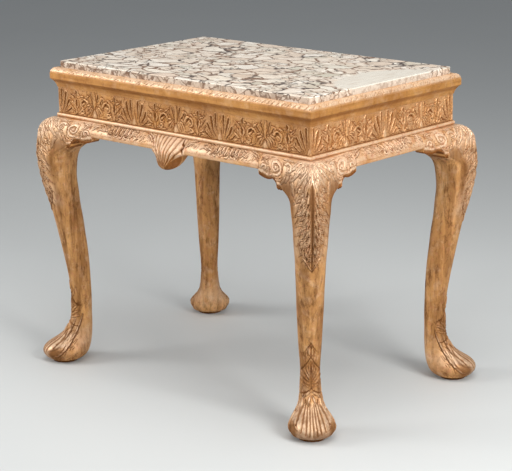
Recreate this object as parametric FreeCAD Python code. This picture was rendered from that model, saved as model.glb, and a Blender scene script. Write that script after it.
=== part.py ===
import FreeCAD, Part
import math
import os

# A gilded pier table with a loose marble slab, in millimetres, with +Z up.
# The origin is on the floor under the middle of the slab. X runs along the long sides,
# and the front, with the shell pendant, faces -Y.

# Overall sizes, over the faces of the frieze boards
table_height = 760.0
frieze_length = 805.0
frieze_depth = 512.0

# Marble slab, let into the cornice
slab_thickness = 20.0
slab_corner_radius = 9.0
slab_arris = 1.5
slab_inset = 16.4
slab_play = 1.0

# Cornice, from the lip round the slab down to the fillet on the frieze
cornice_projection = 13.6
lip_height = 5.0
lip_width = 3.0
ovolo_height = 11.5
ovolo_quirk = 1.0
fascia_height = 16.0
cove_height = 17.5
cove_quirk = 0.8
cove_hollow = 1.6
fillet_height = 2.5
fillet_projection = 2.0

# Frieze boards, bead and apron
board_thickness = 8.0
frieze_height = 63.5
bead_height = 10.0
bead_projection = 4.0
apron_height = 33.0
apron_top_projection = 1.5
apron_projection = 20.0
apron_lip_height = 8.0
apron_lip_step = 1.5
apron_edge = 2.0

# Shell pendant of the front apron, cut a little to the left of the middle
shell_width = 104.0
shell_offset = -8.0
shell_drop = 39.0
shell_projection = 43.0
shell_relief = 1.0
shell_lobes = 9
shell_spread_share = 0.83
lobe_swell_share = 0.20

# Rails, with tenons into the leg posts, and the pegs through them
rail_thickness = 24.0
rail_rise = 5.0
tenon_thickness = 12.0
tenon_setback = 5.0
tenon_low_shoulder = 10.0
tenon_high_shoulder = 20.0
mortise_wall = 3.0
glue_room = 1.0
peg_diameter = 8.0
peg_length = 36.0
peg_room = 0.1
peg_stagger = 16.0
peg_height_shares = (0.25, 0.70)

# Bearers under the slab, dovetailed into the long rails
bearer_width = 44.0
bearer_depth = 25.0
bearer_offset = 135.0
dovetail_neck = 34.0
dovetail_length = 16.0

# Glue blocks in the corners of the frame and behind the knee brackets
corner_block_reach = 64.0
corner_block_height = 50.0
corner_block_drop = 50.0
bracket_block_length = 26.0
bracket_block_depth = 22.0
bracket_block_height = 18.0

# Cabriole legs, measured outwards from the frieze corner
post_size = 48.0
knee_projection = 50.0
foot_height = 148.0
toe_reach = 66.5
heel_reach = 60.7
foot_width = 107.0
pad_height = 8.0
pad_diameter = 64.0
pad_offset = 11.0

# Knee brackets
bracket_reach = 78.0
bracket_drop = 68.0

# What a cutting shape overruns the piece that it cuts
overrun = 5.0

# Foot stations: height above the pad in shares of the foot's, then toe, heel and width in
# shares of their sizes. The corner share is the part of each quarter that a corner arc takes.
foot_shares = (
    (0.000, 0.74, 0.52, 0.77),
    (0.036, 0.89, 0.66, 0.88),
    (0.093, 0.98, 0.77, 0.97),
    (0.136, 1.00, 0.82, 1.00),
    (0.186, 0.97, 0.86, 0.955),
    (0.250, 0.86, 0.90, 0.86),
    (0.343, 0.57, 0.94, 0.68),
    (0.443, 0.28, 0.965, 0.54),
    (0.550, 0.083, 0.98, 0.47),
    (0.700, -0.075, 0.99, 0.43),
    (0.850, -0.128, 0.99, 0.42),
    (1.000, -0.146, 1.00, 0.42),
)
foot_corner_share = 0.84

# Shank stations: height in shares of the shank's, outer face in shares of the knee's
# projection, inner face in shares of the cheek's depth, and the cuts of the outer and inner
# corners and of the side corners in half sides
shank_shares = (
    (0.113, -0.004, 0.868, 0.83, 0.90),
    (0.280, 0.134, 0.859, 0.84, 0.90),
    (0.398, 0.254, 0.820, 0.79, 0.90),
    (0.495, 0.352, 0.764, 0.74, 0.90),
    (0.591, 0.460, 0.720, 0.72, 0.90),
    (0.691, 0.588, 0.654, 0.70, 0.90),
    (0.785, 0.738, 0.620, 0.66, 0.90),
    (0.882, 0.862, 0.575, 0.60, 0.90),
    (0.946, 0.926, 0.593, 0.56, 0.90),
)

# Knee stations: depth below the bead in shares of the bracket's drop, outer and inner faces
# as above, side corner in shares of the outer face, then the cuts of the outer, side and
# inner corners
knee_shares = (
    (1.529, 0.966, 0.627, 1.00, 0.54, 0.90, 0.54),
    (1.309, 0.985, 0.680, 0.95, 0.46, 0.86, 0.52),
    (1.147, 0.996, 0.800, 0.80, 0.42, 0.62, 0.60),
    (1.000, 1.000, 1.020, 0.66, 0.40, 0.33, 0.70),
    (0.912, 0.992, 1.050, 0.65, 0.38, 0.12, 0.50),
    (0.720, 0.950, 1.060, 0.65, 0.35, 0.03, 0.20),
    (0.500, 0.875, 1.060, 0.65, 0.32, 0.03, 0.06),
    (0.294, 0.775, 1.060, 0.66, 0.29, 0.03, 0.06),
    (0.147, 0.600, 1.060, 0.70, 0.26, 0.03, 0.06),
    (0.059, 0.420, 1.060, 0.76, 0.20, 0.03, 0.06),
    (0.000, 0.250, 1.060, 0.84, 0.15, 0.03, 0.06),
)

# Bracket outline: distance from the cheek in shares of the reach, depth below the bead in
# shares of the drop. Arcs give their middle and end.
bracket_start_share = (1.0, 0.544)
bracket_outline_shares = (
    ((0.987, 0.640), (0.910, 0.691)),
    ((0.667, 0.747), (0.372, 0.706)),
    ((0.256, 0.750), (0.192, 0.838)),
    ((0.160, 0.941), (0.077, 0.985)),
    (0.045, 0.963),
    (0.0, 1.0),
)
bracket_under_share = 0.08
bracket_blend_shares = (1.0, 0.844, 0.5, 0.156, 0.0)

# Shell stations on the apron: depth below the bead and swell of the middle in shares, and how
# fast the swell falls off to the sides
shell_apron_shares = (
    (0.0, 0.07, 2.0),
    (0.36, 0.38, 2.0),
    (0.73, 0.72, 1.7),
    (1.0, 0.93, 1.4),
)
# Shell stations below the apron: depth and width in shares of the shell's, then the back, the
# edge and the middle of the front in shares of its projection
shell_drop_shares = (
    (0.15, 0.81, -0.09, 0.35, 0.98),
    (0.41, 0.69, 0.00, 0.24, 1.00),
    (0.62, 0.60, 0.14, 0.26, 1.00),
    (0.80, 0.48, 0.28, 0.36, 0.95),
    (0.92, 0.34, 0.41, 0.49, 0.86),
    (1.00, 0.17, 0.53, 0.59, 0.74),
)

# Levels, from the top down
slab_bottom = table_height - slab_thickness
cornice_top = slab_bottom + lip_height
fascia_top = cornice_top - ovolo_height
fascia_bottom = fascia_top - fascia_height
cove_bottom = fascia_bottom - cove_height
frieze_top = cove_bottom - fillet_height
frieze_bottom = frieze_top - frieze_height
bead_bottom = frieze_bottom - bead_height
apron_bottom = bead_bottom - apron_height
apron_lip_top = apron_bottom + apron_lip_height
rail_bottom = apron_bottom + rail_rise

# Places in plan: half spans over the frieze faces, and depths inwards from them
half_length = frieze_length / 2
half_depth = frieze_depth / 2
cheek_depth = board_thickness + post_size
rail_back = board_thickness + rail_thickness
tenon_face = board_thickness + tenon_setback
tenon_back = tenon_face + tenon_thickness
mortise_tip = tenon_back + mortise_wall
tenon_tip = mortise_tip + glue_room
tenon_bottom = rail_bottom + tenon_low_shoulder
tenon_top = slab_bottom - tenon_high_shoulder
bracket_end = cheek_depth + bracket_reach

side_names = ("front", "right", "back", "left")
end_names = {
    "front": ("left", "right"),
    "right": ("front", "back"),
    "back": ("right", "left"),
    "left": ("back", "front"),
}
x_axis = FreeCAD.Vector(1, 0, 0)
y_axis = FreeCAD.Vector(0, 1, 0)
z_axis = FreeCAD.Vector(0, 0, 1)
middle = FreeCAD.Vector(0, 0, 0)


def block(x_span, y_span, z_span):
    """Box between two bounds along each axis."""
    corner = FreeCAD.Vector(min(x_span), min(y_span), min(z_span))
    sizes = [abs(span[1] - span[0]) for span in (x_span, y_span, z_span)]
    return Part.makeBox(*sizes, corner)


def chain(place, start, steps):
    """Closed wire from start through steps: an end point, or the middle and end of an arc."""
    edges = []
    here = place(*start)
    for step in steps:
        if isinstance(step[0], tuple):
            end = place(*step[1])
            edges.append(Part.Arc(here, place(*step[0]), end).toShape())
        else:
            end = place(*step)
            edges.append(Part.LineSegment(here, end).toShape())
        here = end
    return Part.Wire(edges)


def plan_prism(points, bottom, top):
    """Prism over a plan outline, between two levels."""
    corners = [FreeCAD.Vector(x, y, bottom) for x, y in points]
    outline = Part.makePolygon(corners + corners[:1])
    return Part.Face(outline).extrude(z_axis * (top - bottom))


def quarter_bulge(start, end, centre):
    """Middle of the quarter curve from start to end about a centre that shares a level with each."""
    lean = math.sqrt(0.5)
    return tuple(c + lean * (s - c) + lean * (e - c) for s, e, c in zip(start, end, centre))


def shallow_bulge(start, end, depth):
    """Middle of a shallow curve from start to end, hollowed to the left of its chord by a depth."""
    run = end[0] - start[0]
    rise = end[1] - start[1]
    chord = math.hypot(run, rise)
    return (
        (start[0] + end[0]) / 2 - depth * rise / chord,
        (start[1] + end[1]) / 2 + depth * run / chord,
    )


def spans_of(side):
    """Half run along a side, and the distance of its frieze face from the middle."""
    if side in ("front", "back"):
        return half_length, half_depth
    return half_depth, half_length


def turn_to(shape, side):
    """Copy of a shape made for the front, turned to the side that it belongs to."""
    turned = shape.copy()
    turned.rotate(middle, z_axis, math.degrees(side_names.index(side) * math.pi / 2))
    return turned


def run_moulding(side, start, steps, x_span):
    """Straight moulding with its profile given as projection and level, along part of a side."""
    face = spans_of(side)[1]

    def at(out, level):
        """Point of the profile at the moulding's first end."""
        return FreeCAD.Vector(x_span[0], -(face + out), level)

    profile = Part.Face(chain(at, start, steps))
    return profile.extrude(x_axis * (x_span[1] - x_span[0]))


def mitred_moulding(side, start, steps, projection):
    """Moulding along a whole side, mitred at both ends."""
    run, face = spans_of(side)
    inner = -board_thickness - overrun
    outer = projection + overrun
    strip = run_moulding(side, start, steps, (-(run + outer), run + outer))
    mitre = plan_prism(
        [
            (-(run + inner), -(face + inner)),
            (run + inner, -(face + inner)),
            (run + outer, -(face + outer)),
            (-(run + outer), -(face + outer)),
        ],
        bead_bottom - overrun,
        table_height,
    )
    return turn_to(strip.common(mitre), side)


def marble_slab():
    """Slab with rounded corners and eased arrises."""
    half_x = half_length + cornice_projection - slab_inset
    half_y = half_depth + cornice_projection - slab_inset
    slab = block((-half_x, half_x), (-half_y, half_y), (slab_bottom, table_height))
    uprights = [e for e in slab.Edges if e.BoundBox.ZLength > slab_thickness / 2]
    slab = slab.makeFillet(slab_corner_radius, uprights)
    arrises = [e for e in slab.Edges if e.BoundBox.ZLength < slab_thickness / 2]
    return slab.makeFillet(slab_arris, arrises)


def cornice(side):
    """Cornice with the slab's lip and ledge, an ovolo, a fascia, a cove and a fillet."""
    back = -board_thickness
    lip_back = cornice_projection - slab_inset + slab_play
    ovolo_low = (cornice_projection - ovolo_quirk, fascia_top)
    ovolo_high = (lip_back + lip_width, cornice_top)
    cove_high = (cornice_projection - cove_quirk, fascia_bottom)
    cove_low = (fillet_projection, cove_bottom)
    steps = [
        (fillet_projection, frieze_top),
        cove_low,
        (shallow_bulge(cove_low, cove_high, cove_hollow), cove_high),
        (cornice_projection, fascia_bottom),
        (cornice_projection, fascia_top),
        ovolo_low,
        (quarter_bulge(ovolo_low, ovolo_high, (ovolo_high[0], ovolo_low[1])), ovolo_high),
        (lip_back, cornice_top),
        (lip_back, slab_bottom),
        (back, slab_bottom),
        (back, frieze_top),
    ]
    return mitred_moulding(side, (back, frieze_top), steps, cornice_projection)


def frieze(side):
    """Flat board that carries the frieze."""
    steps = [
        (0, frieze_bottom),
        (0, frieze_top),
        (-board_thickness, frieze_top),
        (-board_thickness, frieze_bottom),
    ]
    return mitred_moulding(side, (-board_thickness, frieze_bottom), steps, 0)


def bead(side):
    """Half-round bead under the frieze."""
    steps = [
        (0, bead_bottom),
        ((bead_projection, (bead_bottom + frieze_bottom) / 2), (0, frieze_bottom)),
        (-board_thickness, frieze_bottom),
        (-board_thickness, bead_bottom),
    ]
    return mitred_moulding(side, (-board_thickness, bead_bottom), steps, bead_projection)


def apron_swell(level):
    """Projection of the apron's swelling face at a level."""
    if level <= apron_lip_top:
        return apron_projection - apron_lip_step
    rise_share = (level - apron_lip_top) / (bead_bottom - apron_lip_top)
    swell = apron_projection - apron_lip_step - apron_top_projection
    return apron_top_projection + swell * (1 - rise_share * rise_share)


def apron(side, x_span):
    """Swelling apron with a plain lip along its lower edge."""
    middle_level = (bead_bottom + apron_lip_top) / 2
    steps = [
        (apron_top_projection, bead_bottom),
        (
            (apron_swell(middle_level), middle_level),
            (apron_swell(apron_lip_top), apron_lip_top),
        ),
        (apron_projection, apron_lip_top),
        (apron_projection, apron_bottom + apron_edge),
        (apron_projection - apron_edge, apron_bottom),
        (-board_thickness, apron_bottom),
        (-board_thickness, bead_bottom),
    ]
    return turn_to(run_moulding(side, (-board_thickness, bead_bottom), steps, x_span), side)


def shell_section(level, half_width, edge, crown, back, fall_off):
    """Scalloped outline of the shell at a level: lobes along the front, flat sides and back."""
    widest = shell_spread_share * math.pi / 2

    def at(across, out):
        """Point at a distance from the shell's middle and out from the frieze."""
        return FreeCAD.Vector(shell_offset + across, -(half_depth + out), level)

    cusps = []
    for number in range(shell_lobes + 1):
        turn = widest * (2 * number / shell_lobes - 1)
        bow = (math.cos(turn) - math.cos(widest)) / (1 - math.cos(widest))
        across = half_width * math.sin(turn) / math.sin(widest)
        cusps.append((across, edge + (crown - edge) * max(bow, 0) ** fall_off))
    steps = []
    for left, right in zip(cusps, cusps[1:]):
        chord = math.dist(left, right)
        swell = lobe_swell_share * chord
        lean = (left[1] - right[1]) / chord
        top = (
            (left[0] + right[0]) / 2 + swell * lean,
            (left[1] + right[1]) / 2 + swell * math.sqrt(1 - lean * lean),
        )
        steps.append((top, right))
    steps += [(half_width, back), (-half_width, back), cusps[0]]
    return chain(at, cusps[0], steps)


def shell_pendant():
    """Fluted shell that swells out of the apron and rounds in to its tip below."""
    half_width = shell_width / 2
    reach = shell_projection - apron_projection
    on_apron = []
    for depth_share, swell_share, fall_off in shell_apron_shares:
        level = bead_bottom - depth_share * apron_height
        edge = apron_swell(level) + shell_relief
        crown = edge + swell_share * reach
        sizes = (half_width, edge, crown, -board_thickness)
        on_apron.append(shell_section(level, *sizes, fall_off))
    below = on_apron[-1:]
    for depth_share, width_share, back_share, edge_share, crown_share in shell_drop_shares:
        sizes = (
            width_share * half_width,
            edge_share * shell_projection,
            crown_share * shell_projection,
            back_share * shell_projection,
        )
        below.append(shell_section(apron_bottom - depth_share * shell_drop, *sizes, 1))
    upper = Part.makeLoft(on_apron, True, False)
    lower = Part.makeLoft(below, True, False)
    return upper.fuse(lower).removeSplitter()


def corner_point(outward_x, outward_y, level):
    """Point measured outwards from the frieze corner at the right end of the front."""
    return FreeCAD.Vector(half_length + outward_x, -(half_depth + outward_y), level)


def foot_section(level, toe, heel, width):
    """Oval section, longer along the diagonal, as eight arcs that match a shank section."""
    lean = math.sqrt(0.5)
    corner_turn = foot_corner_share * math.pi / 4
    long_half = (toe + heel) / 2
    centre = (toe - heel) / 2

    def at(turn):
        """Point of the oval at a turn from the toe."""
        along = centre + long_half * math.cos(turn)
        across = width / 2 * math.sin(turn)
        return corner_point(lean * (along - across), lean * (along + across), level)

    turns = []
    for quarter in range(4):
        straight = quarter * math.pi / 2
        turns += [straight - corner_turn, straight + corner_turn]
    turns.append(turns[0] + 2 * math.pi)
    edges = [
        Part.Arc(at(start), at((start + end) / 2), at(end)).toShape()
        for start, end in zip(turns, turns[1:])
    ]
    return Part.Wire(edges)


def leg_section(level, outer, inner, side, cut_shares):
    """Section between the outer and inner faces, each corner cut back and joined by an arc."""
    outline = ((outer, outer), (-inner, side), (-inner, -inner), (side, -inner))
    corners = [corner_point(x, y, level) for x, y in outline]
    arcs = []
    for number, corner in enumerate(corners):
        cut = cut_shares[number] * (outer + inner) / 2
        before = (corners[number - 1] - corner).normalize()
        after = (corners[(number + 1) % len(corners)] - corner).normalize()
        half_angle = before.getAngle(after) / 2
        ease = (1 - math.sin(half_angle)) / math.cos(half_angle)
        bend = corner + (before + after).normalize() * (cut * ease)
        arcs.append((corner + before * cut, bend, corner + after * cut))
    edges = []
    for arc, following in zip(arcs, arcs[1:] + arcs[:1]):
        edges.append(Part.Arc(*arc).toShape())
        edges.append(Part.LineSegment(arc[-1], following[0]).toShape())
    return Part.Wire(edges)


def leg_stations():
    """Sections of the leg from the top of the pad to the bead."""
    sections = []
    for height_share, toe_share, heel_share, width_share in foot_shares:
        level = pad_height + height_share * (foot_height - pad_height)
        sizes = (toe_share * toe_reach, heel_share * heel_reach, width_share * foot_width)
        sections.append(foot_section(level, *sizes))
    knee_foot = bead_bottom - knee_shares[0][0] * bracket_drop
    for height_share, outer_share, inner_share, corner_cut, side_cut in shank_shares:
        level = foot_height + height_share * (knee_foot - foot_height)
        outer = outer_share * knee_projection
        cuts = (corner_cut, side_cut, corner_cut, side_cut)
        sections.append(leg_section(level, outer, inner_share * cheek_depth, outer, cuts))
    for depth_share, outer_share, inner_share, side_share, *corner_cuts in knee_shares:
        level = bead_bottom - depth_share * bracket_drop
        outer = outer_share * knee_projection
        outer_cut, side_cut, inner_cut = corner_cuts
        cuts = (outer_cut, side_cut, inner_cut, side_cut)
        sides = (inner_share * cheek_depth, side_share * outer)
        sections.append(leg_section(level, outer, *sides, cuts))
    return sections


def peg_levels(side):
    """Heights of the pegs in one joint, staggered so that the two joints of a post miss."""
    stagger = 0 if side in ("front", "back") else peg_stagger
    height = tenon_top - tenon_bottom
    return [tenon_bottom + share * height + stagger for share in peg_height_shares]


def pegs(side, radius):
    """Pegs through the two tenons of a side's rail."""
    run, face = spans_of(side)
    across = run - (cheek_depth + tenon_tip) / 2
    made = []
    for level in peg_levels(side):
        for place in (-across, across):
            foot = FreeCAD.Vector(place, -(face - board_thickness), level)
            made.append(turn_to(Part.makeCylinder(radius, peg_length, foot, y_axis), side))
    return made


def tenon_spans(side, tip):
    """Bounds of the right-hand tenon, or of its mortise, up to a depth from the corner."""
    run, face = spans_of(side)
    return (run - cheek_depth, run - tip), (-(face - tenon_face), -(face - tenon_back))


def bearer(x_middle):
    """Bearer under the slab, with a dovetail at each end housed in a long rail."""
    inside = half_depth - rail_back
    tip = inside + dovetail_length
    half_body = bearer_width / 2
    half_neck = dovetail_neck / 2
    quarter = [(half_body, inside), (half_neck, inside), (half_body, tip)]
    right = [(x, -y) for x, y in reversed(quarter)] + quarter
    left = [(-x, -y) for x, y in right]
    outline = [(x_middle + x, y) for x, y in right + left]
    return plan_prism(outline, slab_bottom - bearer_depth, slab_bottom)


def rail(side):
    """Structural rail with a peg-holed tenon at each end, housed for the bearers if it is long."""
    run, face = spans_of(side)
    shoulder = run - cheek_depth
    thickness = (-(face - board_thickness), -(face - rail_back))
    wood = block((-shoulder, shoulder), thickness, (rail_bottom, slab_bottom))
    tenon_x, tenon_y = tenon_spans(side, tenon_tip)
    tenon = block(tenon_x, tenon_y, (tenon_bottom, tenon_top))
    wood = turn_to(wood.fuse([tenon, tenon.mirror(middle, x_axis)]).removeSplitter(), side)
    holes = pegs(side, peg_diameter / 2 + peg_room)
    if side in ("front", "back"):
        holes += [bearer(-bearer_offset), bearer(bearer_offset)]
    return wood.cut(holes)


def front_right_leg():
    """Cabriole leg from its pad to the top of its post, cut for the rails and their pegs."""
    lean = math.sqrt(0.5)
    pad_foot = corner_point(pad_offset * lean, pad_offset * lean, 0)
    pad = Part.makeCylinder(pad_diameter / 2, pad_height, pad_foot, z_axis)
    curve = Part.makeLoft(leg_stations(), True, False)
    reach = max(knee_projection, toe_reach) + overrun
    stock = block(
        (half_length - cheek_depth, half_length + reach),
        (-(half_depth - cheek_depth), -(half_depth + reach)),
        (0, bead_bottom),
    )
    post = block(
        (half_length - cheek_depth, half_length - board_thickness),
        (-(half_depth - cheek_depth), -(half_depth - board_thickness)),
        (bead_bottom, slab_bottom),
    )
    leg = curve.common(stock).fuse([pad, post]).removeSplitter()
    cuts = []
    for side in ("front", "right"):
        mortise_x, mortise_y = tenon_spans(side, mortise_tip)
        mortise = block(mortise_x, mortise_y, (tenon_bottom, tenon_top))
        if side == "right":
            mortise = mortise.mirror(middle, x_axis)
        cuts.append(turn_to(mortise, side))
        cuts += pegs(side, peg_diameter / 2 + peg_room)
    return leg.cut(cuts)


def bracket_section(distance, knee_share):
    """Bracket profile at a distance from the corner, between the apron's and the knee's."""

    def at(out, level):
        """Point of the profile."""
        return FreeCAD.Vector(-distance, -out, level)

    rows = [(row[0], row[1] * row[3]) for row in knee_shares if row[0] <= 1]
    rows.insert(0, (1 + bracket_under_share, rows[0][1]))
    points = []
    for depth_share, side_share in rows:
        level = bead_bottom - depth_share * bracket_drop
        at_knee = side_share * knee_projection
        at_apron = apron_swell(level)
        points.append(at(knee_share * at_knee + (1 - knee_share) * at_apron, level))
    face = Part.BSplineCurve()
    face.interpolate(points)
    back_low = at(-board_thickness, points[0].z)
    back_high = at(-board_thickness, points[-1].z)
    edges = [face.toShape()]
    for start, end in ((points[-1], back_high), (back_high, back_low), (back_low, points[0])):
        edges.append(Part.LineSegment(start, end).toShape())
    return Part.Wire(edges)


def knee_bracket(side, end):
    """Scalloped bracket between a knee and the apron, at the left or right end of a side."""
    sections = []
    last = len(bracket_blend_shares) - 1
    for number, knee_share in enumerate(bracket_blend_shares):
        sections.append(bracket_section(cheek_depth + bracket_reach * number / last, knee_share))
    swell = Part.makeLoft(sections, True, False)
    reach = knee_projection + overrun

    def at(share, drop_share):
        """Point of the bracket's outline, in shares of its reach and drop."""
        away = cheek_depth + share * bracket_reach
        return FreeCAD.Vector(-away, -reach, bead_bottom - drop_share * bracket_drop)

    over_share = overrun / bracket_reach
    steps = [bracket_start_share]
    steps += bracket_outline_shares
    steps += [(-over_share, 1.0), (-over_share, -over_share), (1.0 + over_share, -over_share)]
    start = (1.0 + over_share, bracket_start_share[1])
    outline = Part.Face(chain(at, start, steps + [start]))
    ear = swell.common(outline.extrude(y_axis * (reach + board_thickness + overrun)))
    run, face = spans_of(side)
    ear.translate(FreeCAD.Vector(run, -face, 0))
    if end == "left":
        ear = ear.mirror(middle, x_axis)
    return turn_to(ear, side)


def bracket_block(side, end):
    """Glue block under the rail, behind a knee bracket and against the leg's cheek."""
    run, face = spans_of(side)
    cheek = run - cheek_depth
    back = -(face - board_thickness)
    wood = block(
        (cheek - bracket_block_length, cheek),
        (back, back + bracket_block_depth),
        (rail_bottom - bracket_block_height, rail_bottom),
    )
    if end == "left":
        wood = wood.mirror(middle, x_axis)
    return turn_to(wood, side)


def corner_blocks():
    """Notched glue blocks across the inner corners, round the posts."""
    far = cheek_depth + corner_block_reach
    notched = [
        (cheek_depth, rail_back),
        (far, rail_back),
        (rail_back, far),
        (rail_back, cheek_depth),
        (cheek_depth, cheek_depth),
    ]
    outline = [(half_length - x, -(half_depth - y)) for x, y in notched]
    top = slab_bottom - corner_block_drop
    first = plan_prism(outline, top - corner_block_height, top)
    pair = [first, first.mirror(middle, x_axis)]
    return pair + [wood.mirror(middle, y_axis) for wood in pair]


def pieces():
    """Every piece of the table by its name."""
    made = {"marble_top": marble_slab(), "shell_pendant": shell_pendant()}
    joint_pegs = []
    blocks = []
    for side in side_names:
        made["cornice_" + side] = cornice(side)
        made["frieze_" + side] = frieze(side)
        made["bead_" + side] = bead(side)
        made["rail_" + side] = rail(side)
        joint_pegs += pegs(side, peg_diameter / 2)
        apron_half = spans_of(side)[0] - bracket_end
        if side == "front":
            shell_ends = (shell_offset - shell_width / 2, shell_offset + shell_width / 2)
            made["apron_front_left"] = apron(side, (-apron_half, shell_ends[0]))
            made["apron_front_right"] = apron(side, (shell_ends[1], apron_half))
        else:
            made["apron_" + side] = apron(side, (-apron_half, apron_half))
        for end, end_name in zip(("left", "right"), end_names[side]):
            made["knee_bracket_" + side + "_" + end_name] = knee_bracket(side, end)
            blocks.append(bracket_block(side, end))
    leg = front_right_leg()
    left_leg = leg.mirror(middle, x_axis)
    made["leg_front_right"] = leg
    made["leg_front_left"] = left_leg
    made["leg_back_right"] = leg.mirror(middle, y_axis)
    made["leg_back_left"] = left_leg.mirror(middle, y_axis)
    made["bearer_left"] = bearer(-bearer_offset)
    made["bearer_right"] = bearer(bearer_offset)
    made["tenon_pegs"] = Part.makeCompound(joint_pegs)
    made["corner_blocks"] = Part.makeCompound(corner_blocks())
    made["bracket_blocks"] = Part.makeCompound(blocks)
    return made


os.makedirs("parts", exist_ok=True)
for name, shape in pieces().items():
    shape.exportStep(os.path.join("parts", name + ".step"))
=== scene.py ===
"""Gilded pier table: carving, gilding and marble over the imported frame."""

import logging
import math
from dataclasses import dataclass
from enum import Enum
from typing import Dict, List, Optional, Sequence, Tuple, Union

import bmesh
import bpy
import numpy as np
from mathutils import Matrix, Vector


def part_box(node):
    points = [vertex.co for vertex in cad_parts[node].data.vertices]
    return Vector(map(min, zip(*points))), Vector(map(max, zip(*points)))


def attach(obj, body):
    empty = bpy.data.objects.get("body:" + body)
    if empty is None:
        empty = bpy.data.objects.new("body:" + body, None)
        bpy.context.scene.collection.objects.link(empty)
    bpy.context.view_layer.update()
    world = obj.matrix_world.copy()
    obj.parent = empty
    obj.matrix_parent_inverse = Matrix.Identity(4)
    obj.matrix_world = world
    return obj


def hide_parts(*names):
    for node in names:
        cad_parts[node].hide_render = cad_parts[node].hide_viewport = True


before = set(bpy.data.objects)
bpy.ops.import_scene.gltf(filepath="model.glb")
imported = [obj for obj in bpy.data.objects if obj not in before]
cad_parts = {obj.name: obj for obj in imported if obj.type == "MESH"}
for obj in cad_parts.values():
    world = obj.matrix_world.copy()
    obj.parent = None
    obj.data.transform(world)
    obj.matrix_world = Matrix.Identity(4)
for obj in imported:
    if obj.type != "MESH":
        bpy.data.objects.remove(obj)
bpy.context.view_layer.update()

logging.basicConfig(level=logging.INFO, format="%(message)s")
log = logging.getLogger("pier_table")

MM = 0.001
CARVING = "carving"
SHARP_ANGLE = math.radians(50)
TINY = 1e-6
LEAF_TONES = ("Leaf", "Deep", "Pale", "Rubbed", "Bole", "Dirt")
LEAF_STRENGTHS = ("Rubbing", "Bole Show", "Streaks", "Matting")
DIAGONAL = math.sqrt(0.5)

Colour = Tuple[float, float, float]
Place = Tuple[float, float, float]
Point = Tuple[float, float]
Line = Tuple[Point, ...]

# A spine has control points and a half width. A winding has an eye, two radii, a start and turns.
Spine = Tuple[Line, float]
Spines = Tuple[Spine, ...]
Winding = Tuple[Point, Point, float, float]
Row = Tuple[float, ...]
Array = np.ndarray
Mesh = bpy.types.Mesh
Material = bpy.types.Material
Socket = bpy.types.NodeSocket
Feed = Union[float, Colour, Socket]


class Section(Enum):
    """Cross-section that a chisel stroke leaves."""

    ROUND = "round"
    HOLLOW = "hollow"
    LINE = "line"


class Lobe(Enum):
    """Kinds of palmette on the frieze."""

    BROAD = "broad"
    NARROW = "narrow"


@dataclass(frozen=True)
class Cut:
    """How one stroke is carved, in millimetres.

    A round or hollow stroke rises from level by rise, and a groove of the given width round it goes
    down to depth. A line is only cut in, down to level. The tint is how dark its painted shade is.
    """

    section: Section
    level: float
    rise: float = 0.0
    groove: float = 0.0
    depth: float = 0.0
    rim: float = 0.75
    tint: float = 1.0

    def body(self, ratio: Array) -> Array:
        """Works out the height across the stroke.

        Args:
            ratio: Distance from the spine, 0, to the edge, 1.

        Returns:
            Heights above the face.
        """
        if self.section is Section.ROUND:
            return self.level + self.rise * np.sqrt(1 - ratio**2)
        fall = np.where(ratio < self.rim, self.rim, 1.4 * (1 - self.rim))
        return self.level + self.rise * (1 - ((ratio - self.rim) / fall) ** 2)

    def shade(self, ratio: Array) -> Array:
        """Works out how deep in shade the stroke lies.

        Args:
            ratio: Distance from the spine, 0, to the edge, 1.

        Returns:
            Shares from 0 to 1.
        """
        if self.section is Section.HOLLOW:
            return self.tint * np.clip(1 - (ratio / (0.95 * self.rim)) ** 3, 0, 1)
        if self.section is Section.LINE:
            return self.tint * (1 - ratio**3)
        return 0.2 * ratio**4

    def gleam(self, ratio: Array) -> Array:
        """Works out how far the stroke stands proud, is rubbed and shows a painted highlight.

        Args:
            ratio: Distance from the spine, 0, to the edge, 1.

        Returns:
            Shares from 0 to 1.
        """
        if self.section is Section.HOLLOW:
            return np.exp(-(((ratio - self.rim) / 0.2) ** 2))
        return 1 - ratio**2


def rising(value: Array, start: float, end: float) -> Array:
    """Shares that go from 0 at the start to 1 at the end, which may lie below it."""
    return np.clip((value - start) / (end - start), 0, 1)


def about(value: Array, middle: float, half: float) -> Array:
    """Shares that fall from 1 at the middle to 0 at half away on both sides."""
    return np.clip(1 - np.abs(value - middle) / half, 0, 1)


def curve(points: Sequence[Point], steps: int = 12) -> Array:
    """Draws a smooth line through the control points of a Bezier curve.

    Args:
        points: Control points, any number from two up.
        steps: Number of straight parts.

    Returns:
        Points along the line.
    """
    share = np.linspace(0, 1, steps + 1)[:, None]
    layer = [np.asarray(point, float)[None, :] for point in points]
    while len(layer) > 1:
        layer = [a * (1 - share) + b * share for a, b in zip(layer, layer[1:])]
    return layer[0]


def spiral(eye: Point, radii: Point, start: float, turns: float, steps: int = 30) -> Array:
    """Draws a scroll that winds in to its eye.

    Args:
        eye: Middle of the scroll.
        radii: First and last radius.
        start: Angle of the first point, in turns.
        turns: Number of turns, negative for clockwise.
        steps: Number of straight parts.

    Returns:
        Points along the line.
    """
    share = np.linspace(0, 1, steps + 1)
    radius = radii[0] * (radii[1] / radii[0]) ** share
    angle = 2 * math.pi * (start + turns * share)
    return np.stack((eye[0] + radius * np.cos(angle), eye[1] + radius * np.sin(angle)), axis=1)


def placed(points: Sequence[Point], middle: float, hand: int) -> List[Point]:
    """Moves points of half a pattern to its middle, turned round for a hand of -1."""
    return [(middle + hand * across, up) for across, up in points]


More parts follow.
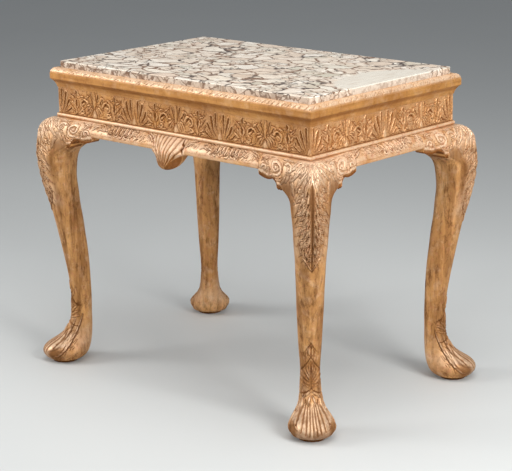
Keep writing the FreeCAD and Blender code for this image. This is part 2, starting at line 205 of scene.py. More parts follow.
class Carver:
    """Carving on the flat development of a surface, worked out point by point in millimetres.

    The hand wanders from the pattern in waves, and stays calm beside the middle of the surface.
    """

    waves: Row = (8.0, 13.0, 22.0, 37.0)
    calm: float = 6.0
    leaf_shares: Row = (0.30, 0.72, 1.0, 0.86, 0.45, 0.10)
    petal_shares: Row = (0.22, 0.34, 0.55, 0.82, 1.0, 0.80)
    eye_share: float = 0.30
    fleck_halves: Point = (0.6, 1.2)
    thinnest: float = 0.05
    speck: float = 0.01

    def __init__(self, across: Array, up: Array, wander: float = 0.0) -> None:
        """Starts from a plain surface.

        Args:
            across: Places along the surface.
            up: Places up the surface.
            wander: How far the hand wanders from the pattern.
        """
        self.points = np.stack((across, up), axis=1)
        chance = np.random.default_rng(5)
        drift = np.zeros_like(self.points)
        for wave in self.waves:
            for axis in (0, 1):
                angle, phase = chance.uniform(0, 2 * math.pi, 2)
                place = across * math.cos(angle) + up * math.sin(angle)
                drift[:, axis] += wander * np.sin(2 * math.pi * place / wave + phase)
        drift[:, 0] *= np.clip(np.abs(across) / self.calm, 0, 1)
        self.points += drift
        layers = np.zeros((5, len(across)))
        self.height, self.recess, self.ground, self.proud, self.pale = layers

    def sink(self, where: Array, depth: float) -> None:
        """Lowers the points of a matted ground by a depth."""
        self.height[where] = -depth
        self.ground[where] = 1

    def stroke(self, path: Array, widths: Sequence[float], cut: Cut) -> None:
        """Carves a tapering rib along a path, with a groove round it.

        Args:
            path: Points of its spine.
            widths: Half widths, spread evenly along the path.
            cut: How it is carved.
        """
        places = np.linspace(0, 1, len(widths))
        half_widths = np.interp(np.linspace(0, 1, len(path)), places, widths)
        reach = half_widths.max() + cut.groove
        inside = (self.points > path.min(0) - reach) & (self.points < path.max(0) + reach)
        near = np.flatnonzero(inside.all(axis=1))
        if near.size == 0:
            return
        run = path[1:] - path[:-1]
        offset = self.points[near, None, :] - path[None, :-1, :]
        share = np.clip((offset * run).sum(2) / np.maximum((run * run).sum(1), TINY), 0, 1)
        gaps = np.linalg.norm(offset - share[:, :, None] * run, axis=2)
        halves = np.maximum(half_widths[:-1] + share * np.diff(half_widths), self.thinnest)
        nearest = (gaps - halves).argmin(axis=1)
        rows = np.arange(near.size)
        gap, half = gaps[rows, nearest], halves[rows, nearest]
        self._raise(near, gap, half, half_widths.max(), cut)
        self._groove(near, gap - half, cut)

    def _raise(self, near: Array, gap: Array, half: Array, widest: float, cut: Cut) -> None:
        """Sets the points under a stroke.

        Args:
            near: Numbers of the points near the stroke.
            gap: Their distances from its spine.
            half: Its half width there.
            widest: Its greatest half width.
            cut: How it is carved.
        """
        body = gap < half
        ratio = (gap / half)[body]
        target = near[body]
        if cut.section is Section.LINE:
            self.height[target] += cut.level * (1 - ratio)
            self.recess[target] = np.maximum(self.recess[target], cut.shade(ratio))
            self.proud[target] *= ratio
            return
        slim = np.sqrt(np.minimum(1, half[body] / (0.7 * widest)))
        self.height[target] = cut.level + (cut.body(ratio) - cut.level) * slim
        self.recess[target] = cut.shade(ratio)
        self.ground[target] = 0
        self.proud[target] = cut.gleam(ratio)

    def _groove(self, near: Array, outside: Array, cut: Cut) -> None:
        """Cuts the line round a stroke.

        Args:
            near: Numbers of the points near the stroke.
            outside: Their distances from its edge.
            cut: How it is carved.
        """
        rim = (outside >= 0) & (outside < cut.groove)
        target = near[rim]
        share = 1 - outside[rim] / cut.groove
        self.height[target] = self.height[target] * (1 - share) - cut.depth * share
        self.recess[target] = np.maximum(self.recess[target], cut.tint * share)
        self.proud[target] *= 1 - share

    def leaf(self, points: Sequence[Point], width: float, cut: Cut) -> None:
        """Carves a leaf that swells from a thin stem to its half width and ends in a point."""
        self.stroke(curve(points), [width * share for share in self.leaf_shares], cut)

    def petal(self, points: Sequence[Point], width: float, cut: Cut) -> None:
        """Carves a petal that reaches its half width near its round tip."""
        self.stroke(curve(points), [width * share for share in self.petal_shares], cut)

    def scroll(
        self, eye: Point, radius: float, start: float, turns: float, width: float, cut: Cut
    ) -> None:
        """Carves a scroll with a round eye.

        Args:
            eye: Its middle.
            radius: Its first radius.
            start: Angle of its first point, in turns.
            turns: Number of turns, negative for clockwise.
            width: Half width of its band.
            cut: How it is carved.
        """
        path = spiral(eye, (radius, self.eye_share * radius), start, turns)
        self.stroke(path, (width, width, 0.6 * width), cut)
        self.berry(eye, 0.20 * radius + 0.5, cut)

    def berry(self, middle: Point, radius: float, cut: Cut) -> None:
        """Carves a round berry."""
        dot = np.array([middle, (middle[0] + self.speck, middle[1])])
        self.stroke(dot, (radius, radius), cut)

    def flecks(self, count: int, low: Point, high: Point, run: Point, cut: Cut) -> None:
        """Scatters short strokes over a field, the same ones each time.

        Args:
            count: How many.
            low: Lower left corner of the field.
            high: Upper right corner of the field.
            run: How far a stroke goes across and up.
            cut: How they are carved.
        """
        chance = np.random.default_rng(count)
        for _ in range(count):
            start = chance.uniform(low, high)
            path = (start, start + np.array(run) * chance.uniform((0.2, 0.6), (1.4, 1.3)))
            self.stroke(np.array(path), self.fleck_halves, cut)

    def soil(self, share: Array) -> None:
        """Darkens points towards the dirt and shade tone, by at least a share."""
        self.recess = np.maximum(self.recess, share)

    def rub(self, share: Array) -> None:
        """Rubs points bright and paints a highlight there, by at least a share."""
        self.proud = np.maximum(self.proud, share)

    def bare(self, share: Array) -> None:
        """Bares the pale gesso, by at least a share."""
        self.pale = np.maximum(self.pale, share)

    def fade(self, share: Array) -> None:
        """Weakens the carving by a share at each point, 0 for none left."""
        for layer in (self.height, self.recess, self.ground, self.proud):
            layer *= share


@dataclass(frozen=True)
class Side:
    """One side of the table, in millimetres, turned from the front about the table's middle."""

    name: str
    run: float
    face: float
    turn: float

    @property
    def is_long(self) -> bool:
        """Whether this is one of the two long sides."""
        return self.run > self.face

    def place(self, along: Array, out: Array, level: Array) -> Array:
        """Places points that are measured on this side.

        Args:
            along: Distances along it from its middle.
            out: Distances out from the frieze.
            level: Heights above the floor.

        Returns:
            Points in the table's frame, in metres.
        """
        away = -(self.face + out)
        cosine, sine = math.cos(self.turn), math.sin(self.turn)
        return np.stack(
            (cosine * along - sine * away, sine * along + cosine * away, level), axis=1
        ) * MM


def table_sides() -> List[Side]:
    """Reads the four sides from the frieze boards.

    Returns:
        Front, right, back and left.
    """
    low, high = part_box("frieze_front")
    half_length, half_depth = high.x / MM, -low.y / MM
    spans = ((half_length, half_depth), (half_depth, half_length)) * 2
    names = ("front", "right", "back", "left")
    return [
        Side(name, run, face, number * math.pi / 2)
        for number, (name, (run, face)) in enumerate(zip(names, spans))
    ]


def closed_grid(columns: int, rows: int) -> bmesh.types.BMesh:
    """Makes a unit grid that faces +Z, with its rim drawn back by one and closed there.

    Args:
        columns: Number of faces along X.
        rows: Number of faces along Y.

    Returns:
        The closed shape, from 0 to 1 along X and Y.
    """
    bm = bmesh.new()
    bmesh.ops.create_grid(bm, x_segments=columns, y_segments=rows, size=0.5)
    bmesh.ops.translate(bm, verts=bm.verts, vec=(0.5, 0.5, 0))
    rim = [edge for edge in bm.edges if edge.is_boundary]
    drawn = bmesh.ops.extrude_edge_only(bm, edges=rim)["geom"]
    back = [item for item in drawn if isinstance(item, bmesh.types.BMVert)]
    bmesh.ops.translate(bm, verts=back, vec=(0, 0, -1))
    ring = [item for item in drawn if isinstance(item, bmesh.types.BMEdge) and item.is_boundary]
    bmesh.ops.edgeloop_fill(bm, edges=ring)
    bmesh.ops.recalc_face_normals(bm, faces=bm.faces)
    return bm


def read_points(mesh: Mesh, what: str = "co") -> Array:
    """Reads a vector of every vertex.

    Args:
        mesh: Mesh to read.
        what: Property of its vertices.

    Returns:
        One row for each vertex.
    """
    flat = np.empty(3 * len(mesh.vertices))
    mesh.vertices.foreach_get(what, flat)
    return flat.reshape(-1, 3)


def write_points(mesh: Mesh, points: Array, carver: Carver) -> None:
    """Moves the vertices, and keeps the carving's shades on the mesh for its material.

    Args:
        mesh: Mesh to change.
        points: New places, in metres.
        carver: Carving with one point for each vertex.
    """
    mesh.vertices.foreach_set("co", points.ravel())
    layer = mesh.attributes.new(name=CARVING, type="FLOAT_COLOR", domain="POINT")
    shades = np.stack((carver.recess, carver.ground, carver.proud, carver.pale), axis=1)
    layer.data.foreach_set("color", np.clip(shades, 0, 1).ravel())
    mesh.polygons.foreach_set("use_smooth", [True] * len(mesh.polygons))
    mesh.update()
    mesh.set_sharp_from_angle(angle=SHARP_ANGLE)


def put_in_place(mesh: Mesh, name: str, node: str, material: Material) -> None:
    """Makes a piece of the fixed frame from a mesh.

    Args:
        mesh: Its mesh, in the table's frame.
        name: Its name.
        node: Name of the CAD node that it stands for.
        material: Its finish.
    """
    mesh.name = name
    piece = bpy.data.objects.new(name, mesh)
    bpy.context.scene.collection.objects.link(piece)
    mesh.materials.clear()
    mesh.materials.append(material)
    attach(piece, "frame")
    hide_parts(node)
    log.info("%s: %d faces", name, len(mesh.polygons))


def even_copy(node: str, voxel: float) -> Mesh:
    """Copies a CAD node as an even mesh that is fine enough to carve.

    Args:
        node: Name of the node.
        voxel: Size of its faces, in millimetres.

    Returns:
        The new mesh, with smoothed faces.
    """
    bm = bmesh.new()
    bm.from_mesh(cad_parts[node].data)
    bmesh.ops.remove_doubles(bm, verts=bm.verts, dist=TINY)
    rough = bpy.data.meshes.new("rough_" + node)
    bm.to_mesh(rough)
    bm.free()
    block = bpy.data.objects.new("rough_" + node, rough)
    bpy.context.scene.collection.objects.link(block)
    even = block.modifiers.new("even", "REMESH")
    even.mode = "VOXEL"
    even.voxel_size = voxel * MM
    graph = bpy.context.evaluated_depsgraph_get()
    mesh = bpy.data.meshes.new_from_object(block.evaluated_get(graph))
    bpy.data.objects.remove(block)
    bpy.data.meshes.remove(rough)
    bm = bmesh.new()
    bm.from_mesh(mesh)
    axes = {"use_axis_x": True, "use_axis_y": True, "use_axis_z": True}
    for _ in range(2):
        bmesh.ops.smooth_vert(bm, verts=bm.verts, factor=0.5, **axes)
    bm.to_mesh(mesh)
    bm.free()
    return mesh


def mirrored(mesh: Mesh, matrix: Matrix) -> Mesh:
    """Copies a mesh through a matrix, with its faces still pointing outwards.

    Args:
        mesh: Mesh to copy.
        matrix: Where the copy goes.

    Returns:
        The copy.
    """
    copy = mesh.copy()
    copy.transform(matrix)
    if matrix.determinant() < 0:
        copy.flip_normals()
    copy.update()
    return copy


class Sheet:
    """Node tree under construction, with short ways to add and join its nodes."""

    def __init__(self, tree: bpy.types.NodeTree) -> None:
        """Starts on an empty tree."""
        self.tree = tree

    def node(
        self, kind: str, feeds: Optional[Dict[str, Feed]] = None, **settings: object
    ) -> bpy.types.Node:
        """Adds a node.

        Args:
            kind: Its type, without the ShaderNode in front.
            feeds: What goes into its sockets by name, a value or another node's socket.
            settings: Its own properties.

        Returns:
            The node.
        """
        made = self.tree.nodes.new("ShaderNode" + kind)
        for name, value in settings.items():
            setattr(made, name, value)
        for name, feed in (feeds or {}).items():
            self.feed(made.inputs[name], feed)
        return made

    def feed(self, socket: Socket, feed: Feed) -> None:
        """Joins a socket to another, or sets its value.

        Args:
            socket: Input to feed.
            feed: A value, a colour or an output.
        """
        if isinstance(feed, Socket):
            self.tree.links.new(feed, socket)
        elif isinstance(feed, tuple) and socket.type == "RGBA":
            socket.default_value = (*feed, 1)
        else:
            socket.default_value = feed

    def calc(self, operation: str, first: Feed, second: Feed = 0.0) -> Socket:
        """Adds a sum that stays between 0 and 1.

        Args:
            operation: Name of the sum.
            first: First number.
            second: Second number.

        Returns:
            The result.
        """
        made = self.node("Math", operation=operation, use_clamp=True)
        self.feed(made.inputs[0], first)
        self.feed(made.inputs[1], second)
        return made.outputs[0]

    def times(self, first: Feed, second: Feed) -> Socket:
        """Multiplies two numbers."""
        return self.calc("MULTIPLY", first, second)

    def plus(self, first: Feed, second: Feed) -> Socket:
        """Adds two numbers."""
        return self.calc("ADD", first, second)

    def less(self, first: Feed, second: Feed) -> Socket:
        """Takes the second number from the first."""
        return self.calc("SUBTRACT", first, second)

    def blend(self, share: Feed, first: Feed, second: Feed) -> Socket:
        """Mixes two colours.

        Args:
            share: Share of the second.
            first: First colour.
            second: Second colour.

        Returns:
            The mixed colour.
        """
        made = self.node("Mix", data_type="RGBA")
        self.feed(made.inputs[0], share)
        self.feed(made.inputs[6], first)
        self.feed(made.inputs[7], second)
        return made.outputs[2]

    def between(self, value: Feed, low: float, high: float) -> Socket:
        """Stretches a range to 0 to 1.

        Args:
            value: Number to stretch.
            low: What becomes 0.
            high: What becomes 1.

        Returns:
            The stretched number.
        """
        feeds = {"Value": value, "From Min": low, "From Max": high}
        made = self.node("MapRange", feeds, interpolation_type="SMOOTHSTEP")
        return made.outputs["Result"]

    def ramp(self, share: Feed, stops: Sequence[Tuple[float, Colour]]) -> Socket:
        """Colours a share along a row of stops.

        Args:
            share: Number from 0 to 1.
            stops: Places and colours.

        Returns:
            The colour.
        """
        made = self.node("ValToRGB")
        elements = made.color_ramp.elements
        while len(elements) < len(stops):
            elements.new(0.5)
        for element, (place, colour) in zip(elements, stops):
            element.position = place
            element.color = (*colour, 1)
        self.feed(made.inputs["Fac"], share)
        return made.outputs["Color"]

    def noise(
        self, where: Socket, scale: float, detail: float = 4.0, rough: float = 0.55
    ) -> bpy.types.Node:
        """Adds cloudy noise, of so many clouds to the metre, with finer layers."""
        feeds = {"Vector": where, "Scale": scale, "Detail": detail, "Roughness": rough}
        return self.node("TexNoise", feeds)

    def patches(self, where: Socket, scale: float, limits: Point, *finer: float) -> Socket:
        """Masks cloudy patches, from 0 at one limit of the noise to 1 at the other."""
        return self.between(self.noise(where, scale, *finer).outputs["Fac"], *limits)

    def stretched(self, where: Socket, scale: Feed) -> Socket:
        """Stretches coordinates by a factor along each axis."""
        return self.node("Mapping", {"Vector": where, "Scale": scale}).outputs["Vector"]

    def bent(self, where: Socket, noise: Socket, reach: float) -> Socket:
        """Bends coordinates by a noise.

        Args:
            where: Coordinates.
            noise: Colour of the noise.
            reach: How far it bends them, in metres.

        Returns:
            The bent coordinates.
        """
        made = self.node("VectorMath", operation="MULTIPLY_ADD")
        for socket, feed in zip(made.inputs, (noise, (reach, reach, reach), where)):
            self.feed(socket, feed)
        return made.outputs["Vector"]

    def distance(self, where: Socket, middle: Place, scale: Place) -> Socket:
        """Measures how far away a place is.

        Args:
            where: Coordinates.
            middle: The place.
            scale: Factor along each axis.

        Returns:
            The distance.
        """
        offset = tuple(-place * factor for place, factor in zip(middle, scale))
        feeds = {"Vector": where, "Scale": scale, "Location": offset}
        length = self.node("VectorMath", operation="LENGTH")
        self.feed(length.inputs[0], self.node("Mapping", feeds).outputs["Vector"])
        return length.outputs["Value"]


def new_material(name: str) -> Tuple[Material, Sheet, bpy.types.Node]:
    """Starts a material.

    Args:
        name: Its name.

    Returns:
        The material, its node sheet and its shader.
    """
    material = bpy.data.materials.new(name)
    material.use_nodes = True
    sheet = Sheet(material.node_tree)
    return material, sheet, material.node_tree.nodes["Principled BSDF"]


def empty_leaf_group() -> bpy.types.ShaderNodeTree:
    """Starts the worn gold leaf with its sockets.

    Returns:
        The group, with tones and strengths as inputs.
    """
    group = bpy.data.node_groups.new("worn_gold_leaf", "ShaderNodeTree")
    sockets = [("INPUT", "Color", name) for name in LEAF_TONES]
    sockets += [("INPUT", "Float", name) for name in LEAF_STRENGTHS]
    sockets += [("INPUT", "Vector", "Grain"), ("OUTPUT", "Color", "Color")]
    sockets += [("OUTPUT", "Float", "Roughness"), ("OUTPUT", "Float", "Height")]
    for way, kind, name in sockets:
        group.interface.new_socket(name, in_out=way, socket_type="NodeSocket" + kind)
    return group


def worn_leaf_group() -> bpy.types.ShaderNodeTree:
    """Makes the worn gold leaf that every gilded piece shares.

    Returns:
        The group.
    """
    group = empty_leaf_group()
    sheet = Sheet(group)
    given = group.nodes.new("NodeGroupInput").outputs
    result = group.nodes.new("NodeGroupOutput").inputs
    where = sheet.node("TexCoord").outputs["Object"]
    layers = sheet.node("Attribute", attribute_name=CARVING)
    shades = sheet.node("SeparateColor", {"Color": layers.outputs["Color"]})
    recess, ground, proud = (shades.outputs[name] for name in ("Red", "Green", "Blue"))
    pale = layers.outputs["Alpha"]

    cloud = sheet.patches(where, 11, (0.34, 0.66), 5)
    tone = sheet.blend(cloud, given["Deep"], given["Leaf"])
    veil = sheet.patches(where, 30, (0.20, 0.62), 5, 0.6)
    tone = sheet.blend(sheet.times(pale, veil), tone, given["Pale"])
    patch = sheet.patches(where, 42, (0.48, 0.68), 6, 0.62)
    # Painted highlight and wear: proud parts and random patches go towards the rubbed tone.
    lifted = sheet.plus(sheet.times(patch, 0.35), proud)
    lifted = sheet.times(lifted, given["Rubbing"])
    tone = sheet.blend(lifted, tone, given["Rubbed"])
    chips = sheet.patches(where, 95, (0.52, 0.64), 8, 0.7)
    shown = sheet.times(chips, given["Bole Show"])
    tone = sheet.blend(shown, tone, given["Bole"])
    drawn = sheet.stretched(where, given["Grain"])
    broad = sheet.patches(drawn, 38, (0.45, 0.62), 5, 0.6)
    streak = sheet.patches(drawn, 105, (0.46, 0.66), 5, 0.66)
    streak = sheet.plus(sheet.times(broad, 0.50), sheet.times(streak, 0.4))
    worn = sheet.stretched(where, (1.0, 1.0, 0.45))
    mottle = sheet.patches(worn, 78, (0.50, 0.63), 8, 0.74)
    streak = sheet.plus(streak, sheet.times(mottle, 0.50))
    streak = sheet.times(streak, given["Streaks"])
    streak = sheet.times(streak, sheet.less(1.0, pale))
    tone = sheet.blend(streak, tone, given["Dirt"])
    pits = sheet.patches(where, 230, (0.56, 0.68), 6, 0.75)
    tone = sheet.blend(sheet.times(pits, 0.40), tone, given["Dirt"])
    dots = sheet.node("TexVoronoi", {"Vector": where, "Scale": 380.0}).outputs["Distance"]
    punch = sheet.times(sheet.between(dots, 0.42, 0.12), ground)
    punch = sheet.times(punch, given["Matting"])
    tone = sheet.blend(punch, tone, given["Dirt"])
    # Painted shade: the recess share darkens hollows, grooves and undersides towards the dirt tone.
    grime = sheet.noise(where, 160, 3).outputs["Fac"]
    shade_and_dirt = sheet.times(recess, sheet.between(grime, 0.05, 0.40))
    tone = sheet.blend(shade_and_dirt, tone, given["Dirt"])
    sheet.feed(result["Color"], tone)

    dull = sheet.times(shade_and_dirt, 0.35)
    dull = sheet.plus(dull, sheet.times(streak, 0.3))
    dull = sheet.plus(dull, sheet.times(grime, 0.20))
    dull = sheet.less(dull, sheet.times(lifted, 0.20))
    sheet.feed(result["Roughness"], sheet.plus(dull, 0.38))
    cracks = sheet.noise(where, 420, 4, 0.7).outputs["Fac"]
    height = sheet.times(cracks, 0.35)
    height = sheet.plus(height, sheet.times(lifted, 0.2))
    height = sheet.less(height, sheet.times(punch, 0.5))
    height = sheet.less(height, sheet.times(streak, 0.2))
    sheet.feed(result["Height"], sheet.plus(height, 0.3))
    return group


@dataclass(frozen=True)
class Gilding:
    """Gold leaf over bole and gesso, worn by handling, with painted shade and highlights."""

    name: str
    leaf: Colour = (0.680, 0.335, 0.098)
    deep: Colour = (0.500, 0.220, 0.056)
    pale: Colour = (0.800, 0.545, 0.355)
    rubbed: Colour = (0.900, 0.680, 0.490)
    bole: Colour = (0.440, 0.155, 0.072)
    dirt: Colour = (0.205, 0.066, 0.010)
    rubbing: float = 0.35
    bole_show: float = 0.30
    streaks: float = 0.0
    matting: float = 0.5
    metallic: float = 0.40
    grain: Place = (1.0, 1.0, 0.12)
    specular: float = 0.3
    bump: float = 0.55
    bump_depth: float = 0.6

    def make(self, group: bpy.types.ShaderNodeTree) -> Material:
        """Makes the material.

        Args:
            group: The shared worn gold leaf.

        Returns:
            The material.
        """
        material, sheet, shader = new_material(self.name)
        worn = sheet.tree.nodes.new("ShaderNodeGroup")
        worn.node_tree = group
        tones = (self.leaf, self.deep, self.pale, self.rubbed, self.bole, self.dirt)
        strengths = (self.rubbing, self.bole_show, self.streaks, self.matting)
        for name, value in zip(LEAF_TONES + LEAF_STRENGTHS, tones + strengths):
            sheet.feed(worn.inputs[name], value)
        sheet.feed(worn.inputs["Grain"], self.grain)
        bump = sheet.node("Bump", {"Height": worn.outputs["Height"]})
        bump.inputs["Strength"].default_value = self.bump
        bump.inputs["Distance"].default_value = self.bump_depth * MM
        sheet.feed(shader.inputs["Base Color"], worn.outputs["Color"])
        sheet.feed(shader.inputs["Roughness"], worn.outputs["Roughness"])
        sheet.feed(shader.inputs["Normal"], bump.outputs["Normal"])
        shader.inputs["Metallic"].default_value = self.metallic
        shader.inputs["Specular IOR Level"].default_value = self.specular
        return material


@dataclass(frozen=True)
class Breccia:
    """Polished marble of pale broken stones in a brown paste, with one great stone at its right."""

    name: str = "breccia_marble"
    paste: Colour = (0.065, 0.036, 0.025)
    hair: Colour = (0.235, 0.125, 0.070)
    soil: Colour = (0.560, 0.400, 0.290)
    stain: Colour = (0.560, 0.440, 0.340)
    pale: Colour = (0.770, 0.725, 0.640)
    stones: Tuple[Tuple[float, Colour], ...] = (
        (0.00, (0.930, 0.830, 0.690)),
        (0.20, (0.990, 0.950, 0.870)),
        (0.34, (0.840, 0.700, 0.570)),
        (0.48, (0.990, 0.930, 0.820)),
        (0.62, (0.760, 0.610, 0.480)),
        (0.74, (0.990, 0.930, 0.830)),
        (0.86, (0.640, 0.610, 0.500)),
        (1.00, (0.850, 0.680, 0.550)),
    )
    stone_scales: Point = (19.0, 42.0)
    stretch: Place = (0.85, 1.25, 1.0)
    seam: Point = (0.085, 0.030)
    edge_levels: Point = (0.7592, 0.7565)
    edge_soil: float = 0.45
    edge_patch: float = 0.80
    patch_across: Point = (0.06, -0.14)
    patch_least: float = 0.50
    great_middle: Place = (0.410, 0.060, 0.790)
    great_scale: Place = (12.0, 6.6, 8.0)
    great_rim: Point = (1.06, 0.94)
    great_bend: float = 0.06
    great_bands: Place = (5.0, 1.0, 1.0)
    veined_level: float = 0.760
    veined_scale: Place = (1.0, 1.3, 0.6)
    veined_rim: Point = (0.085, 0.030)
    veined: Line = (
        (0.26, -0.14), (-0.10, 0.22), (0.30, 0.22), (0.28, -0.28), (-0.24, -0.28), (0.10, -0.26),
    )

    def make(self) -> Material:
        """Makes the material.

        Returns:
            The material.
        """
        material, sheet, shader = new_material(self.name)
        where = sheet.node("TexCoord").outputs["Object"]
        drift = sheet.noise(where, 10, 3).outputs["Color"]
        ripple = sheet.noise(where, 70, 3, 0.5).outputs["Color"]
        laid = sheet.stretched(where, self.stretch)
        warped = sheet.bent(sheet.bent(laid, drift, 0.070), ripple, 0.018)
        large, small = (self._stones(sheet, warped, scale) for scale in self.stone_scales)
        place = sheet.node("SeparateXYZ", {"Vector": where}).outputs
        edge = sheet.between(place["Z"], *self.edge_levels)
        crowd = sheet.calc("MAXIMUM", sheet.patches(where, 14, (0.50, 0.56), 3), edge)
        stone = sheet.blend(crowd, large[0], small[0])
        seam = sheet.node("Mix", data_type="FLOAT")
        for number, feed in ((0, crowd), (2, large[1]), (3, small[1])):
            sheet.feed(seam.inputs[number], feed)
        dark = sheet.patches(where, 17, (0.45, 0.58), 4, 0.6)
        dark = sheet.plus(dark, self._darkest(sheet, where))
        dark = sheet.plus(dark, sheet.times(edge, 0.6))
        paste = sheet.blend(dark, self.hair, self.paste)
        mottle = sheet.patches(warped, 85, (0.42, 0.70), 6, 0.7)
        stone = sheet.blend(sheet.times(mottle, 0.24), stone, self.stain)
        wisp = sheet.less(sheet.noise(warped, 34, 6, 0.62).outputs["Fac"], 0.5)
        wisp = sheet.between(sheet.calc("ABSOLUTE", wisp), 0.022, 0.004)
        stone = sheet.blend(sheet.times(wisp, 0.30), stone, self.stain)
        shown = sheet.patches(where, 31, (0.30, 0.50), 3)
        shown = sheet.plus(sheet.plus(shown, 0.20), edge)
        shown = sheet.times(seam.outputs[0], shown)
        tone = sheet.blend(shown, stone, paste)
        bands = sheet.noise(sheet.stretched(where, self.great_bands), 22, 5, 0.6).outputs["Fac"]
        clouded = sheet.times(sheet.between(bands, 0.45, 0.75), 0.45)
        great = sheet.blend(clouded, self.pale, self.stain)
        tone = sheet.blend(self._great_stone(sheet, where), tone, great)
        # The slab's edge is darker, towards a brown tone.
        tone = sheet.blend(sheet.times(edge, self.edge_soil), tone, self.soil)
        tone = sheet.blend(self._edge_patches(sheet, warped, place["X"], edge), tone, self.hair)
        sheet.feed(shader.inputs["Base Color"], tone)
        sheet.feed(shader.inputs["Roughness"], sheet.plus(sheet.times(mottle, 0.10), 0.24))
        return material

    def _edge_patches(self, sheet: Sheet, where: Socket, across: Socket, edge: Socket) -> Socket:
        """Masks dark patches on the slab's edge, more of them towards the left.

        Args:
            sheet: Node sheet.
            where: Coordinates of the patches.
            across: Place along the slab.
            edge: Mask of the edge.

        Returns:
            Their mask.
        """
        left = sheet.calc("MAXIMUM", sheet.between(across, *self.patch_across), self.patch_least)
        patch = sheet.times(sheet.patches(where, 75, (0.50, 0.58), 4, 0.6), left)
        return sheet.times(patch, sheet.times(edge, self.edge_patch))

    def _stones(self, sheet: Sheet, where: Socket, scale: float) -> Tuple[Socket, Socket]:
        """Lays broken stones of one size.

        Args:
            sheet: Node sheet.
            where: Coordinates.
            scale: Stones to the metre.

        Returns:
            Their colour, and the share of the paste between them.
        """
        cells = sheet.node("TexVoronoi", {"Vector": where, "Scale": scale})
        pick = sheet.node("SeparateColor", {"Color": cells.outputs["Color"]}).outputs["Red"]
        edges = sheet.node(
            "TexVoronoi", {"Vector": where, "Scale": scale}, feature="DISTANCE_TO_EDGE"
        )
        seam = sheet.between(edges.outputs["Distance"], *self.seam)
        return sheet.ramp(pick, self.stones), seam

    def _darkest(self, sheet: Sheet, where: Socket) -> Socket:
        """Masks the patches where the paste is darkest.

        Args:
            sheet: Node sheet.
            where: Coordinates.

        Returns:
            Their mask.
        """
        mask: Feed = 0.0
        for across, along in self.veined:
            middle = (across, along, self.veined_level)
            gap = sheet.distance(where, middle, self.veined_scale)
            mask = sheet.plus(mask, sheet.between(gap, *self.veined_rim))
        return mask

    def _great_stone(self, sheet: Sheet, where: Socket) -> Socket:
        """Masks the one great pale stone by the right-hand edge.

        Args:
            sheet: Node sheet.
            where: Coordinates.

        Returns:
            Its mask.
        """
        ripple = sheet.noise(where, 26, 5, 0.65).outputs["Color"]
        bent = sheet.bent(where, ripple, self.great_bend)
        gap = sheet.distance(bent, self.great_middle, self.great_scale)
        return sheet.between(gap, *self.great_rim)


@dataclass(frozen=True)
class BareWood:
    """Old unfinished wood inside the frame."""

    name: str = "bare_wood"
    early: Colour = (0.300, 0.175, 0.085)
    late: Colour = (0.150, 0.078, 0.034)
    grain: Place = (6.0, 6.0, 90.0)
    bump: float = 0.3
    bump_depth: float = 0.4

    def make(self) -> Material:
        """Makes the material.

        Returns:
            The material.
        """
        material, sheet, shader = new_material(self.name)
        where = sheet.node("TexCoord").outputs["Object"]
        fibre = sheet.noise(sheet.stretched(where, self.grain), 2.2, 6, 0.6).outputs["Fac"]
        grain = sheet.between(fibre, 0.36, 0.64)
        sheet.feed(shader.inputs["Base Color"], sheet.blend(grain, self.late, self.early))
        sheet.feed(shader.inputs["Roughness"], sheet.plus(sheet.times(grain, 0.1), 0.65))
        bump = sheet.node("Bump", {"Height": grain})
        bump.inputs["Strength"].default_value = self.bump
        bump.inputs["Distance"].default_value = self.bump_depth * MM
        sheet.feed(shader.inputs["Normal"], bump.outputs["Normal"])
        return material


def span_of(node: str, side: Side) -> Tuple[Point, Point]:
    """Reads a node's extent along a side and up it.

    Args:
        node: Name of the node.
        side: Side that it belongs to.

    Returns:
        Its two ends along the side, and its two levels, in millimetres.
    """
    turn = Matrix.Rotation(-side.turn, 3, "Z")
    corners = [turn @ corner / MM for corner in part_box(node)]
    along = sorted(corner.x for corner in corners)
    return (along[0], along[1]), (corners[0].z, corners[1].z)


def girths(profile: Array) -> Array:
    """Distances along a profile from its lowest point."""
    steps = np.linalg.norm(np.diff(profile, axis=0), axis=1)
    return np.concatenate(([0.0], np.cumsum(steps)))


def facings(profile: Array) -> Array:
    """Works out the directions that a profile's points face.

    Args:
        profile: Points, out and up.

    Returns:
        Directions, out and up.
    """
    tangent = np.gradient(profile, axis=0)
    tangent /= np.maximum(np.linalg.norm(tangent, axis=1), TINY)[:, None]
    return np.stack((tangent[:, 1], -tangent[:, 0]), axis=1)


def steps_between(start: Point, end: Point, count: int) -> List[Point]:
    """Divides a straight part of a profile.

    Args:
        start: First point, kept.
        end: Last point, left out.
        count: Number of parts.

    Returns:
        Points from the start on.
    """
    return [
        (start[0] + (end[0] - start[0]) * share, start[1] + (end[1] - start[1]) * share)
        for share in np.arange(count) / count
    ]


